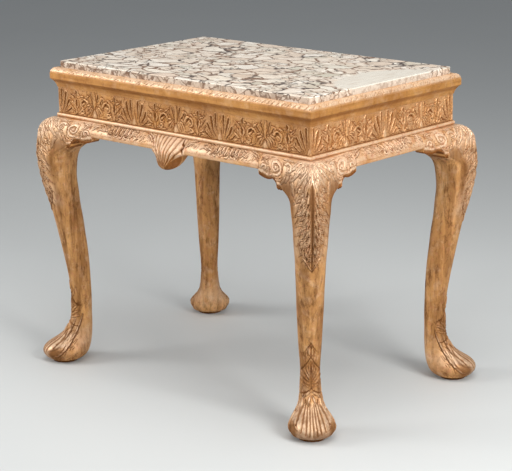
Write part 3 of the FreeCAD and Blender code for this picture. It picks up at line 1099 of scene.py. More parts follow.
@dataclass
class Moulding:
    """Mouldings of one kind: strips along the sides that follow a profile and are closed behind.

    Sizes are in millimetres. Each kind draws its own profile and carves its own surface.
    """

    kind: str
    pitch: float
    back: float = -8.0
    wander: float = 0.0
    mitred: bool = True
    made: str = "carved_"

    def profile(self, levels: Point) -> Array:
        """Draws the profile upwards, as points out and up, between two levels."""
        raise NotImplementedError

    def carve(self, carver: Carver, side: Side) -> None:
        """Carves the surface of one length on a side."""
        raise NotImplementedError

    def nodes(self, side: Side) -> List[str]:
        """Names of the lengths on a side."""
        return [self.kind + side.name]

    def dress(self, material: Material) -> None:
        """Makes every length.

        Args:
            material: Their finish.
        """
        for side in table_sides():
            for node in self.nodes(side):
                span, levels = span_of(node, side)
                if self.mitred:
                    span = (-side.run, side.run)
                mesh = self._strip(node, side, span, self.profile(levels))
                put_in_place(mesh, self.made + node, node, material)

    def _strip(self, name: str, side: Side, span: Point, profile: Array) -> Mesh:
        """Makes one length.

        Args:
            name: Name of its mesh.
            side: Side that it runs along.
            span: Its two ends on the frieze face, from the side's middle.
            profile: Points out and up.

        Returns:
            The mesh.
        """
        rows = len(profile) - 1
        bm = closed_grid(max(2, round((span[1] - span[0]) / self.pitch)), rows)
        mesh = bpy.data.meshes.new(name)
        bm.to_mesh(mesh)
        bm.free()
        unit = read_points(mesh)
        behind = unit[:, 2] < -0.5
        row = np.rint(unit[:, 1] * rows).astype(int)
        out, level = profile[row].T
        middle, half = (span[0] + span[1]) / 2, (span[1] - span[0]) / 2
        lean = 2 * unit[:, 0] - 1
        carver = Carver(middle + lean * half, girths(profile)[row], self.wander)
        self.carve(carver, side)
        carver.fade(np.where(behind, 0, 1))
        shift = carver.height[:, None] * facings(profile)[row]
        ends = out if self.mitred else np.zeros_like(out)
        ends = np.where(behind & self.mitred, self.back, ends)
        out = np.where(behind, self.back, out + shift[:, 0])
        held = np.clip(level, profile[0, 1], profile[-1, 1])
        level = np.where(behind, held, level + shift[:, 1])
        points = side.place(middle + lean * (half + ends), out, level)
        write_points(mesh, points, carver)
        return mesh


@dataclass
class Frieze(Moulding):
    """Frieze boards with palmettes, scrolls and buds on a matted ground.

    Petals and leaves are given by the control points of their spines and their half widths, those
    of a palmette from its middle, and those of a bay from its middle towards its narrow palmette.
    """

    kind: str = "frieze_"
    pitch: float = 1.0
    wander: float = 0.50
    margin: float = 4.0
    depth: float = 1.2
    plain_end: float = 1.5
    end_fade: float = 1.6
    long_places: Row = (0.0, 137.0, 274.0)
    short_places: Row = (0.0, 134.0)
    broad_petals: Spines = (
        (((20, 3), (34, 3), (45, 15)), 4.8),
        (((17, 5), (30, 14), (38, 35)), 6.2),
        (((13, 7), (22, 26), (27, 51)), 6.6),
        (((9, 16), (12, 38), (12, 58)), 5.8),
    )
    narrow_petals: Spines = (
        (((10, 27), (18, 34), (25, 45)), 3.6),
        (((6, 29), (10, 43), (13, 57)), 4.4),
    )
    drooping: Spines = (
        (((3, 27), (9, 22), (14, 4)), 2.5),
        (((4, 28), (14, 24), (21, 6)), 2.5),
        (((5, 29), (20, 27), (28, 11)), 2.4),
        (((6, 31), (22, 33), (31, 22)), 2.2),
    )
    leaves: Spines = (
        (((-4, 3), (-16, 17), (-26, -1), (-42, 8)), 2.9),
        (((-8, 12), (-17, 15), (-25, 28)), 2.6),
        (((-7, 24), (-13, 31), (-24, 41)), 2.6),
        (((-5, 41), (-12, 42), (-22, 51)), 2.3),
        (((4, 3), (14, 13), (24, -1), (39, 6)), 2.7),
        (((15, 19), (23, 33), (34, 32)), 2.6),
        (((33, 43), (38, 51), (48, 53)), 2.2),
        (((13, 44), (20, 50), (29, 47)), 2.2),
        (((0, 17), (-12, 29), (0, 42)), 2.3),
        (((0, 17), (12, 29), (0, 42)), 2.3),
        (((0, 2), (0, 9), (0, 18)), 2.2),
        (((3, 48), (8, 52), (14, 47)), 2.0),
        (((-3, 48), (-8, 52), (-14, 47)), 2.0),
    )
    dots: Line = (
        (-7, 43), (8, 42), (11, 16), (-12, 8), (40, 21), (-31, 30), (-17, 34), (41, 40), (24, 42),
    )
    dot: float = 2.3
    scrolls: Tuple[Tuple[Winding, float], ...] = (
        (((27, 28), (14.5, 9.5), -0.04, 0.80), 2.8),
        (((20, 11), (7.0, 2.5), 0.50, 1.30), 1.9),
    )
    scroll_tip: float = 1.4
    inner_scroll: Winding = ((27, 28), (9.5, 8.0), 0.02, 0.45)
    inner_halves: Row = (1.4, 3.6, 1.8)
    heart: Line = ((0, 23), (0, 30), (0, 36))
    heart_halves: Row = (2.0, 4.2, 1.6)
    bud: Spine = (((0, 44), (0, 50), (0, 57)), 6.2)
    shaft_levels: Row = (18.0, 40.0, 60.0)
    shaft_halves: Row = (1.6, 2.6, 3.6, 4.0, 2.4)
    shaft_band: float = 5.0
    shaft_gleam: float = 0.35
    base_foot: float = 2.0
    broad_base: float = 27.0
    narrow_base: float = 21.0
    base_halves: Row = (8.0, 6.0, 3.2, 1.6, 0.4)
    gesso_level: float = 9.0
    gesso_radius: float = 7.0
    gesso: float = 0.35
    long_flecks: int = 280
    short_flecks: int = 190
    fleck_levels: Point = (4.0, 56.0)
    fleck_run: Point = (2.0, 8.0)
    foot_band: float = 2.6
    foot_soil: float = 0.8
    long_pale: float = 0.22
    short_pale: float = 0.34
    petal: Cut = Cut(Section.HOLLOW, -3.0, 3.6, 1.0, 1.0, tint=0.86)
    stem: Cut = Cut(Section.ROUND, -0.8, 2.2, 2.0, 2.6, tint=0.80)
    line: Cut = Cut(Section.LINE, -1.8, tint=0.85)
    fine: Cut = Cut(Section.LINE, -1.1, tint=0.55)

    def profile(self, levels: Point) -> Array:
        """Draws a plain upright board.

        Args:
            levels: Its foot and its top.

        Returns:
            Points, out and up.
        """
        low, high = levels
        rows = round((high - low) / self.pitch)
        return np.array(steps_between((0, low), (0, high), rows) + [(0, high)])

    def carve(self, carver: Carver, side: Side) -> None:
        """Carves one board.

        Args:
            carver: Surface to carve.
            side: Side that it belongs to.
        """
        across, up = carver.points.T
        sunk = (up < up.max() - self.margin) & (np.abs(across) < side.run - self.plain_end)
        carver.sink(sunk, self.depth)
        count = self.long_flecks if side.is_long else self.short_flecks
        low, high = self.fleck_levels
        carver.flecks(count, (-side.run, low), (side.run, high), self.fleck_run, self.fine)
        marks = self._marks(side)
        for (left, _), (right, kind) in zip(marks, marks[1:]):
            self._bay(carver, (left + right) / 2, 1 if kind is Lobe.NARROW else -1)
        for place, kind in marks:
            for hand in (-1, 1):
                self._half_palmette(carver, place, hand, kind)
            self._base(carver, place, kind)
        # Darker along the foot of the board, and not rubbed there.
        foot = rising(up, self.foot_band, 0)
        carver.soil(self.foot_soil * foot)
        carver.proud *= 1 - foot
        carver.pale += self.long_pale if side.is_long else self.short_pale
        carver.fade(rising(np.abs(across), side.run, side.run - self.end_fade))

    def _marks(self, side: Side) -> List[Tuple[float, Lobe]]:
        """Lists the palmettes of a board, from its left end to its right end.

        Args:
            side: Side that it belongs to.

        Returns:
            Their places and kinds.
        """
        places = self.long_places if side.is_long else self.short_places
        kinds = [Lobe.NARROW, Lobe.BROAD] if side.is_long else [Lobe.BROAD, Lobe.NARROW]
        marks = [(place, kinds[number % 2]) for number, place in enumerate(places)]
        marks = [(-place, kind) for place, kind in reversed(marks[1:])] + marks
        return [(-side.run, Lobe.BROAD)] + marks + [(side.run, Lobe.BROAD)]

    def _half_palmette(self, carver: Carver, middle: float, hand: int, kind: Lobe) -> None:
        """Carves one side of an upright fan of hollow petals.

        Args:
            carver: Surface to carve.
            middle: Its place along the board.
            hand: Which side, 1 for the right.
            kind: Broad or narrow.
        """
        petals = self.broad_petals
        if kind is Lobe.NARROW:
            petals = self.narrow_petals
            for points, width in self.drooping:
                carver.leaf(placed(points, middle, hand), width, self.stem)
        for points, width in petals:
            carver.petal(placed(points, middle, hand), width, self.petal)

    def _base(self, carver: Carver, middle: float, kind: Lobe) -> None:
        """Carves the small triangle that a palmette stands on, and the shaft of a narrow one.

        Args:
            carver: Surface to carve.
            middle: Its place along the board.
            kind: Broad or narrow.
        """
        across, up = carver.points.T
        if kind is Lobe.NARROW:
            shaft = np.array([(middle, level) for level in self.shaft_levels])
            carver.stroke(shaft, self.shaft_halves, self.stem)
            carver.proud[np.abs(across - middle) < self.shaft_band] *= self.shaft_gleam
        tall = self.broad_base if kind is Lobe.BROAD else self.narrow_base
        spine = np.array([(middle, level) for level in (self.base_foot, 0.5 * tall, tall)])
        carver.stroke(spine, self.base_halves, self.stem)
        inside = np.hypot(across - middle, up - self.gesso_level) < self.gesso_radius
        carver.pale[inside] = self.gesso

    def _bay(self, carver: Carver, middle: float, hand: int) -> None:
        """Carves the scroll, the leaves and the bud between two palmettes.

        Args:
            carver: Surface to carve.
            middle: Middle of the bay.
            hand: Direction of its narrow palmette.
        """
        turned, shift = np.array((hand, 1.0)), np.array((middle, 0.0))
        for points, width in self.leaves:
            carver.leaf(placed(points, middle, hand), width, self.stem)
        for winding, width in self.scrolls:
            scroll = spiral(*winding) * turned + shift
            carver.stroke(scroll, (width, width, self.scroll_tip), self.stem)
        inner = spiral(*self.inner_scroll) * turned + shift
        carver.stroke(inner, self.inner_halves, self.line)
        heart = np.array(placed(self.heart, middle, hand))
        carver.stroke(heart, self.heart_halves, self.line)
        for place in placed(self.dots, middle, hand):
            carver.berry(place, self.dot, self.line)
        points, width = self.bud
        carver.petal(placed(points, middle, hand), width, self.petal)


@dataclass
class Cornice(Moulding):
    """Cornice with a carved ovolo, a plain fascia, a cove and a fillet."""

    kind: str = "cornice_"
    pitch: float = 1.4
    fillet: Point = (2.0, 2.5)
    cove: Point = (10.8, 17.5)
    hollow: float = 1.6
    fascia: Point = (13.6, 16.0)
    quirk: float = 1.0
    ovolo: Point = (11.4, 11.5)
    lip: Point = (3.0, 5.0)
    leaf_run: float = 18.0
    leaf_pitch: float = 15.0
    leaf_slant: float = 0.95
    leaf_lows: Point = (1.0, 3.0)
    leaf_highs: Point = (12.0, 15.0)
    slit_halves: Row = (0.8, 2.0, 1.6, 0.8)
    worn_clear: float = 0.25
    clear_limits: Point = (0.15, 1.0)
    clear_run: float = 400.0
    worn_dots: Point = (1.2, 2.4)
    dot: float = 1.3
    dot_levels: Point = (2.0, 14.0)
    lump: float = 0.55
    chips: float = 0.45
    chip_levels: Point = (1.0, 15.0)
    chip_run: Point = (4.0, 3.0)
    end_fade: float = 2.0
    slit: Cut = Cut(Section.LINE, -1.7, tint=0.55)
    chip: Cut = Cut(Section.LINE, -0.9, tint=0.45)

    def profile(self, levels: Point) -> Array:
        """Draws the profile upwards from the frieze.

        Args:
            levels: Its foot and its top.

        Returns:
            Points, out and up.
        """
        low = levels[0]
        projection, fillet = self.fascia[0], self.fillet[0]
        cove_low = low + self.fillet[1]
        fascia_low = cove_low + self.cove[1]
        fascia_high = fascia_low + self.fascia[1]
        lip_edge = projection - self.quirk - self.ovolo[0]
        top = fascia_high + self.ovolo[1]
        points = steps_between((fillet, low), (fillet, cove_low), 2)
        chord = math.hypot(*self.cove)
        for share in np.linspace(0, 1, 11):
            depth = 4 * share * (1 - share) * self.hollow / chord
            out = fillet + share * self.cove[0] - depth * self.cove[1]
            points.append((out, cove_low + share * self.cove[1] + depth * self.cove[0]))
        points += steps_between((projection, fascia_low), (projection, fascia_high), 8)
        points.append((projection, fascia_high))
        for turn in np.linspace(0, math.pi / 2, 15):
            out = lip_edge + self.ovolo[0] * math.cos(turn)
            points.append((out, fascia_high + self.ovolo[1] * math.sin(turn)))
        points += [(lip_edge - self.lip[0] / 2, top), (lip_edge - self.lip[0], top)]
        points.append((lip_edge - self.lip[0], top - self.lip[1]))
        return np.array(points)

    def carve(self, carver: Carver, side: Side) -> None:
        """Carves worn leaf tips along the ovolo, and paints shade in the cove and the seam above
        it.

        Args:
            carver: Surface to carve.
            side: Side that it belongs to.
        """
        chord = math.hypot(*self.cove)
        foot = self.fillet[1] + chord + 8 * self.hollow**2 / (3 * chord)
        foot += self.fascia[0] - self.fillet[0] - self.cove[0]
        start = foot + self.fascia[1] + self.quirk
        self._ovolo(carver, side, start)
        self._soil(carver, side, foot, start)
        end = side.run + self.fascia[0]
        carver.fade(rising(np.abs(carver.points[:, 0]), end, end - self.end_fade))

    def _ovolo(self, carver: Carver, side: Side, start: float) -> None:
        """Carves the ovolo, lumpy and chipped, and bares its gesso.

        Args:
            carver: Surface to carve.
            side: Side that it belongs to.
            start: Where the ovolo starts up the profile.
        """
        across, girth = carver.points.T
        share = (girth - start) / self.leaf_run
        band = np.clip(np.minimum(share, 1 - share) * 6, 0, 1)
        lumps = np.sin(across / 1.9 + girth / 2.3) * np.sin(across / 3.7 - girth / 3.1)
        carver.height += self.lump * band * lumps
        low, high = (start + level for level in self.chip_levels)
        count = round(self.chips * side.run)
        carver.flecks(count, (-side.run, low), (side.run, high), self.chip_run, self.chip)
        self._leaf_tips(carver, side, start)
        carver.rub((0.6 + 0.3 * lumps) * band * (1 - carver.recess))
        carver.bare(np.clip(4 * share, 0, 1) * (share < 1.4))

    def _soil(self, carver: Carver, side: Side, foot: float, start: float) -> None:
        """Paints shade in the cove and the seam above it, and rubs the arrises.

        Args:
            carver: Surface to carve.
            side: Side that it belongs to.
            foot: Where the fascia starts up the profile.
            start: Where the ovolo starts up the profile.
        """
        across, girth = carver.points.T
        wave = 0.5 + 0.3 * np.sin(across / 47.0 + side.turn) + 0.2 * np.sin(across / 19.0)
        cove = np.clip(1.3 - np.abs(girth - foot + 8.0) / (5.0 + 4.0 * wave), 0, 1)
        seam = about(girth, foot - 1.0, 1.8)
        # Painted shade in the cove and in the seam under the fascia.
        carver.soil(np.maximum(0.55 * cove, 0.80 * seam))
        arris = about(girth, start - 1.0, 1.8)
        fillet = np.clip(1.5 - girth / 3.0, 0, 1)
        carver.rub(np.maximum(0.5 * arris, 0.1 * fillet))

    def _leaf_tips(self, carver: Carver, side: Side, start: float) -> None:
        """Cuts slits between worn leaf tips, clearer towards the right.

        Args:
            carver: Surface to carve.
            side: Side that it belongs to.
            start: Where the ovolo starts up the profile.
        """
        chance = np.random.default_rng(round(side.turn * 10) + 3)
        for number in range(round(2 * side.run / self.leaf_pitch)):
            place = -side.run + (number + chance.uniform(0.3, 0.7)) * self.leaf_pitch
            clear = np.clip(0.5 + place / self.clear_run, *self.clear_limits)
            low = start + chance.uniform(*self.leaf_lows)
            high = start + chance.uniform(*self.leaf_highs)
            lean = self.leaf_slant * (high - low)
            middle = (place + 0.6 * lean, (low + high) / 2)
            if chance.uniform() < (self.worn_clear if side.turn else clear):
                path = np.array([(place, low), middle, (place + lean, high)])
                carver.stroke(path, self.slit_halves, self.slit)
            else:
                carver.berry(middle, chance.uniform(*self.worn_dots), self.slit)
            spot = place + self.leaf_pitch * chance.uniform(0.35, 0.65)
            carver.berry((spot, start + chance.uniform(*self.dot_levels)), self.dot, self.slit)


@dataclass
class Bead(Moulding):
    """Half-round bead, a little uneven from the gouge."""

    kind: str = "bead_"
    pitch: float = 3.0
    made: str = "rounded_"
    projection: float = 4.0
    unevenness: float = 0.18
    gouge_wave: float = 19.0
    gesso: float = 0.55

    def profile(self, levels: Point) -> Array:
        """Draws the half round.

        Args:
            levels: Its foot and its top.

        Returns:
            Points, out and up.
        """
        low, high = levels
        turns = np.linspace(0, math.pi, 15)
        up = (low + high) / 2 - (high - low) / 2 * np.cos(turns)
        return np.stack((self.projection * np.sin(turns), up), axis=1)

    def carve(self, carver: Carver, side: Side) -> None:
        """Paints shade in the two quirks beside the round and rubs its crown.

        Args:
            carver: Surface to carve.
            side: Side that it belongs to; not used.
        """
        across, girth = carver.points.T
        share = girth / girth.max()
        wave = np.sin(across / self.gouge_wave)
        carver.height += self.unevenness * wave * np.sin(math.pi * share)
        # Painted shade in the quirks.
        carver.recess = rising(np.abs(2 * share - 1), 0.62, 0.87)
        carver.proud = about(2 * share, 1.1, 0.55)
        carver.pale += self.gesso


@dataclass
class Apron(Moulding):
    """Swelling apron with scrolling foliage cut in above a plain lip.

    The hooks of a cluster and the sprays of a garland are given by the control points of their
    lines, from where each of them starts, and up from the lip.
    """

    kind: str = "apron_"
    pitch: float = 1.1
    wander: float = 0.50
    mitred: bool = False
    projection: float = 20.0
    lip: Point = (1.5, 8.0)
    edge: float = 2.0
    top: float = 1.5
    clusters: Row = (-180.0, 160.0)
    side_cluster: float = 10.0
    cluster_half: float = 30.0
    eyes: Row = (-24.0, -6.0, 12.0, 28.0)
    eye_level: float = 10.0
    sway: float = 2.0
    hook_pitch: float = 12.5
    hook_shifts: Point = (0.0, 6.0)
    hook_edge: Point = (2.6, 1.2)
    hooks: Tuple[Line, ...] = (
        ((10, 31), (3, 25), (4, 15), (-8, 7)),
        ((3, 30), (-6, 23), (5, 15), (-3, 5)),
    )
    spray_pitch: float = 21.0
    sprays: Tuple[Line, ...] = (
        ((-4, 12), (2, 30), (15, 31), (18, 21), (11, 19)),
        ((-6, 26), (1, 32), (8, 29)),
        ((2, 9), (10, 18), (20, 9)),
    )
    sweeps: Tuple[Line, ...] = (
        ((-34, 30), (-18, 28), (-4, 16)),
        ((-26, 22), (-15, 20), (-4, 8)),
    )
    sweep_room: float = 40.0
    spray_lift: float = 1.5
    flecks: int = 190
    fleck_levels: Point = (1.0, 30.0)
    fleck_run: Point = (5.0, 6.0)
    pale_levels: Row = (-9.0, 0.0, 18.0, 28.0, 35.0)
    pale_shares: Row = (0.45, 0.85, 1.0, 0.75, 0.35)
    leafy: Cut = Cut(Section.ROUND, -0.2, 1.4, 1.4, 1.6)
    slit: Cut = Cut(Section.LINE, -2.2)
    fine: Cut = Cut(Section.LINE, -1.4, tint=0.66)

    def profile(self, levels: Point) -> Array:
        """Draws the profile upwards from the lower edge.

        Args:
            levels: Those of the lower edge and of the bead.

        Returns:
            Points, out and up.
        """
        low, high = levels
        lip_top = low + self.lip[1]
        inner = self.projection - self.lip[0]
        edge_top = (self.projection, low + self.edge)
        points = steps_between((self.projection - self.edge, low), edge_top, 2)
        points += steps_between(edge_top, (self.projection, lip_top), 4)
        points.append((self.projection, lip_top))
        for share in np.linspace(0, 1, 31):
            level = lip_top + share * (high - lip_top)
            points.append((self.top + (inner - self.top) * (1 - share**2), level))
        return np.array(points)

    def nodes(self, side: Side) -> List[str]:
        """Names of the lengths on a side, two of them beside the shell."""
        node = self.kind + side.name
        return [node + "_left", node + "_right"] if side.name == "front" else [node]

    def carve(self, carver: Carver, side: Side) -> None:
        """Carves one length.

        Args:
            carver: Surface to carve.
            side: Side that it belongs to.
        """
        across, girth = carver.points.T
        up = girth - (1.4 * self.edge + self.lip[1] - self.edge + self.lip[0])
        carver.points = np.stack((across, up), axis=1)
        ends = across.min(), across.max()
        hand = 1 if side.is_long else -1
        chance = np.random.default_rng(round(10 * side.turn) + round(abs(ends[0])))
        low, high = zip(ends, self.fleck_levels)
        run = (hand * self.fleck_run[0], self.fleck_run[1])
        carver.flecks(self.flecks, low, high, run, self.fine)
        for place in self.clusters if side.is_long else (self.side_cluster,):
            if ends[0] < place < ends[1]:
                self._garland(carver, (place - self.cluster_half, ends[0]), chance)
                self._garland(carver, (place + self.cluster_half, ends[1]), chance)
                self._cluster(carver, place, hand, chance)
        # Painted shade along the crease where the lip meets the swell.
        carver.soil(0.45 * about(up, -0.6, 1.3))
        rubbed = (0.15 + 0.10 * about(up, 6.0, 8.0)) * (up > 0)
        carver.proud = np.maximum(0.7 * carver.proud, rubbed * (1 - carver.recess))
        # Less bare gesso towards the top, under the bead, and at the lower edge of the lip: painted
        # shade.
        carver.pale = np.interp(up, self.pale_levels, self.pale_shares)

    def _cluster(
        self, carver: Carver, place: float, hand: int, chance: np.random.Generator
    ) -> None:
        """Carves slanting hooks with curls and dots between them.

        Args:
            carver: Surface to carve.
            place: Its middle along the apron.
            hand: Direction that the hooks lean in.
            chance: Source of small differences.
        """
        for eye in self.eyes:
            middle = (place + eye + chance.uniform(-self.sway, self.sway), self.eye_level)
            carver.stroke(spiral(middle, (6.5, 5.5), 0.05, -0.6), (1.0, 2.6, 1.0), self.leafy)
            carver.stroke(spiral(middle, (4.0, 3.0), 0.05, -0.7), (0.6, 1.6, 0.6), self.slit)
        for number in range(-2, 4):
            start = place + self.hook_pitch * number + chance.uniform(-self.sway, self.sway)
            for shift, points in zip(self.hook_shifts, self.hooks):
                path = curve(placed(points, start + shift, hand))
                edge = (hand * self.hook_edge[0], self.hook_edge[1])
                carver.stroke(path + edge, (0.6, 2.2, 2.0, 0.6), self.leafy)
                carver.stroke(path, (0.7, 1.9, 1.7, 0.6), self.slit)
            dot = (start + hand * chance.uniform(2, 5), chance.uniform(26, 31))
            carver.berry(dot, 1.8, self.slit)

    def _garland(self, carver: Carver, span: Point, chance: np.random.Generator) -> None:
        """Carves leafy lines and dots out to the next piece, and long sweeps beside it.

        Args:
            carver: Surface to carve.
            span: Where it leaves the cluster, and where it meets the next piece.
            chance: Source of small differences.
        """
        start, end = span
        hand = 1 if end > start else -1
        count = max(2, round((abs(end - start) - self.sweep_room) / self.spray_pitch))
        for number in range(count):
            root = start + hand * self.spray_pitch * (number + chance.uniform(-0.2, 0.2))
            for points in self.sprays:
                lift = (-self.spray_lift, self.spray_lift)
                lifted = [(across, up + chance.uniform(*lift)) for across, up in points]
                path = curve(placed(lifted, root, hand))
                carver.stroke(path + (0.0, 2.2), (0.6, 1.9, 0.6), self.leafy)
                carver.stroke(path, (0.5, 1.5, 0.6), self.fine)
            carver.berry((root + hand * 6.0, chance.uniform(24, 31)), 1.6, self.slit)
        for points in self.sweeps:
            path = curve(placed(points, end, hand))
            carver.stroke(path + (0.0, 2.8), (0.8, 2.2, 1.2), self.leafy)
            carver.stroke(path, (0.6, 1.5, 1.2), self.fine)


@dataclass
class ShellPendant:
    """Fluted shell near the middle of the front apron, with an old crack."""

    node: str = "shell_pendant"
    voxel: float = 1.0
    lobes: int = 14
    middle: float = -8.0
    half_width: float = 52.0
    apron_low: float = 591.0
    apron_high: float = 624.0
    lean: float = 23.0
    lean_from: float = 572.0
    flare: float = 0.55
    drop: float = 39.0
    drop_shares: Row = (0.0, 0.15, 0.41, 0.62, 0.80, 0.92, 1.0)
    width_shares: Row = (1.0, 0.81, 0.69, 0.60, 0.48, 0.34, 0.17)
    lean_bend: float = 1.3
    flute: float = 2.9
    flute_half: float = 0.26
    flute_start: Point = (14.0, 30.0)
    flute_least: float = 0.2
    root: Point = (-2.0, 540.0)
    fan: float = 1.05
    fan_foot: float = 0.6
    fan_reach: float = 80.0
    brown_levels: Point = (600.0, 570.0)
    pale_levels: Point = (580.0, 606.0)
    flank_blend: float = 0.10
    flank_falls: Point = (0.05, 1.0)
    flank_shares: Point = (0.95, 0.05)
    crack: Line = ((33, 625), (36, 615), (41, 609), (38, 602), (40, 594))
    crack_halves: Row = (1.8, 2.5, 2.2, 2.4, 1.6)
    break_line: Cut = Cut(Section.LINE, -4.5)

    def dress(self, material: Material) -> None:
        """Makes the shell.

        Args:
            material: Its finish.
        """
        mesh = even_copy(self.node, self.voxel)
        points = read_points(mesh)
        normals = read_points(mesh, "normal")
        carver = Carver(points[:, 0] / MM, points[:, 2] / MM)
        self._flutes(carver)
        carver.stroke(np.array(self.crack, float), self.crack_halves, self.break_line)
        carver.fade(rising(-normals[:, 1], -0.15, 0.15))
        write_points(mesh, points + normals * carver.height[:, None] * MM, carver)
        put_in_place(mesh, "fluted_" + self.node, self.node, material)

    def _flutes(self, carver: Carver) -> None:
        """Cuts a fan of flutes and leaves the right-hand flank plain, with painted light and shade.

        Args:
            carver: Surface, measured along the front and up from the floor.
        """
        across, level = carver.points.T
        across = across - self.middle
        fall = rising(level, self.apron_low, self.apron_low - self.drop)
        rise = rising(level, self.lean_from, self.apron_high) ** self.lean_bend
        width = self.half_width * np.interp(fall, self.drop_shares, self.width_shares)
        leaned = across + self.lean * rise
        share = np.clip(leaned / (width * (1 + self.flare * rise)), -1, 1)
        aside, above = leaned - self.root[0], level - self.root[1]
        reach = np.hypot(aside, above)
        opened = self.fan_foot + (1 - self.fan_foot) * rising(reach, 0, self.fan_reach)
        phase = (np.arctan2(aside, above) / (self.fan * opened) + 1) / 2 * self.lobes
        off = np.abs(phase - np.rint(phase))
        flute = about(off, 0, self.flute_half)
        flute *= np.maximum(rising(reach, *self.flute_start), self.flute_least)
        flank = np.interp(fall, self.flank_falls, self.flank_shares)
        plain = rising(share, flank, flank + self.flank_blend) * (fall > 0)
        flute *= 1 - plain
        carver.height -= self.flute * flute
        brown = rising(level, *self.brown_levels)
        # Painted shade in the flutes and on the plain flank, and darker towards the bottom.
        soil = (flute * (0.78 + 0.22 * brown), 0.9 * plain, 0.45 * brown)
        carver.recess = np.maximum.reduce(soil)
        # Painted highlights on the ridges between the flutes, stronger higher up.
        carver.proud = np.clip(3 * off - 0.4, 0, 1) * (1 - plain) * (1.3 - 0.8 * brown)
        carver.pale = rising(level, *self.pale_levels) * (1 - plain)


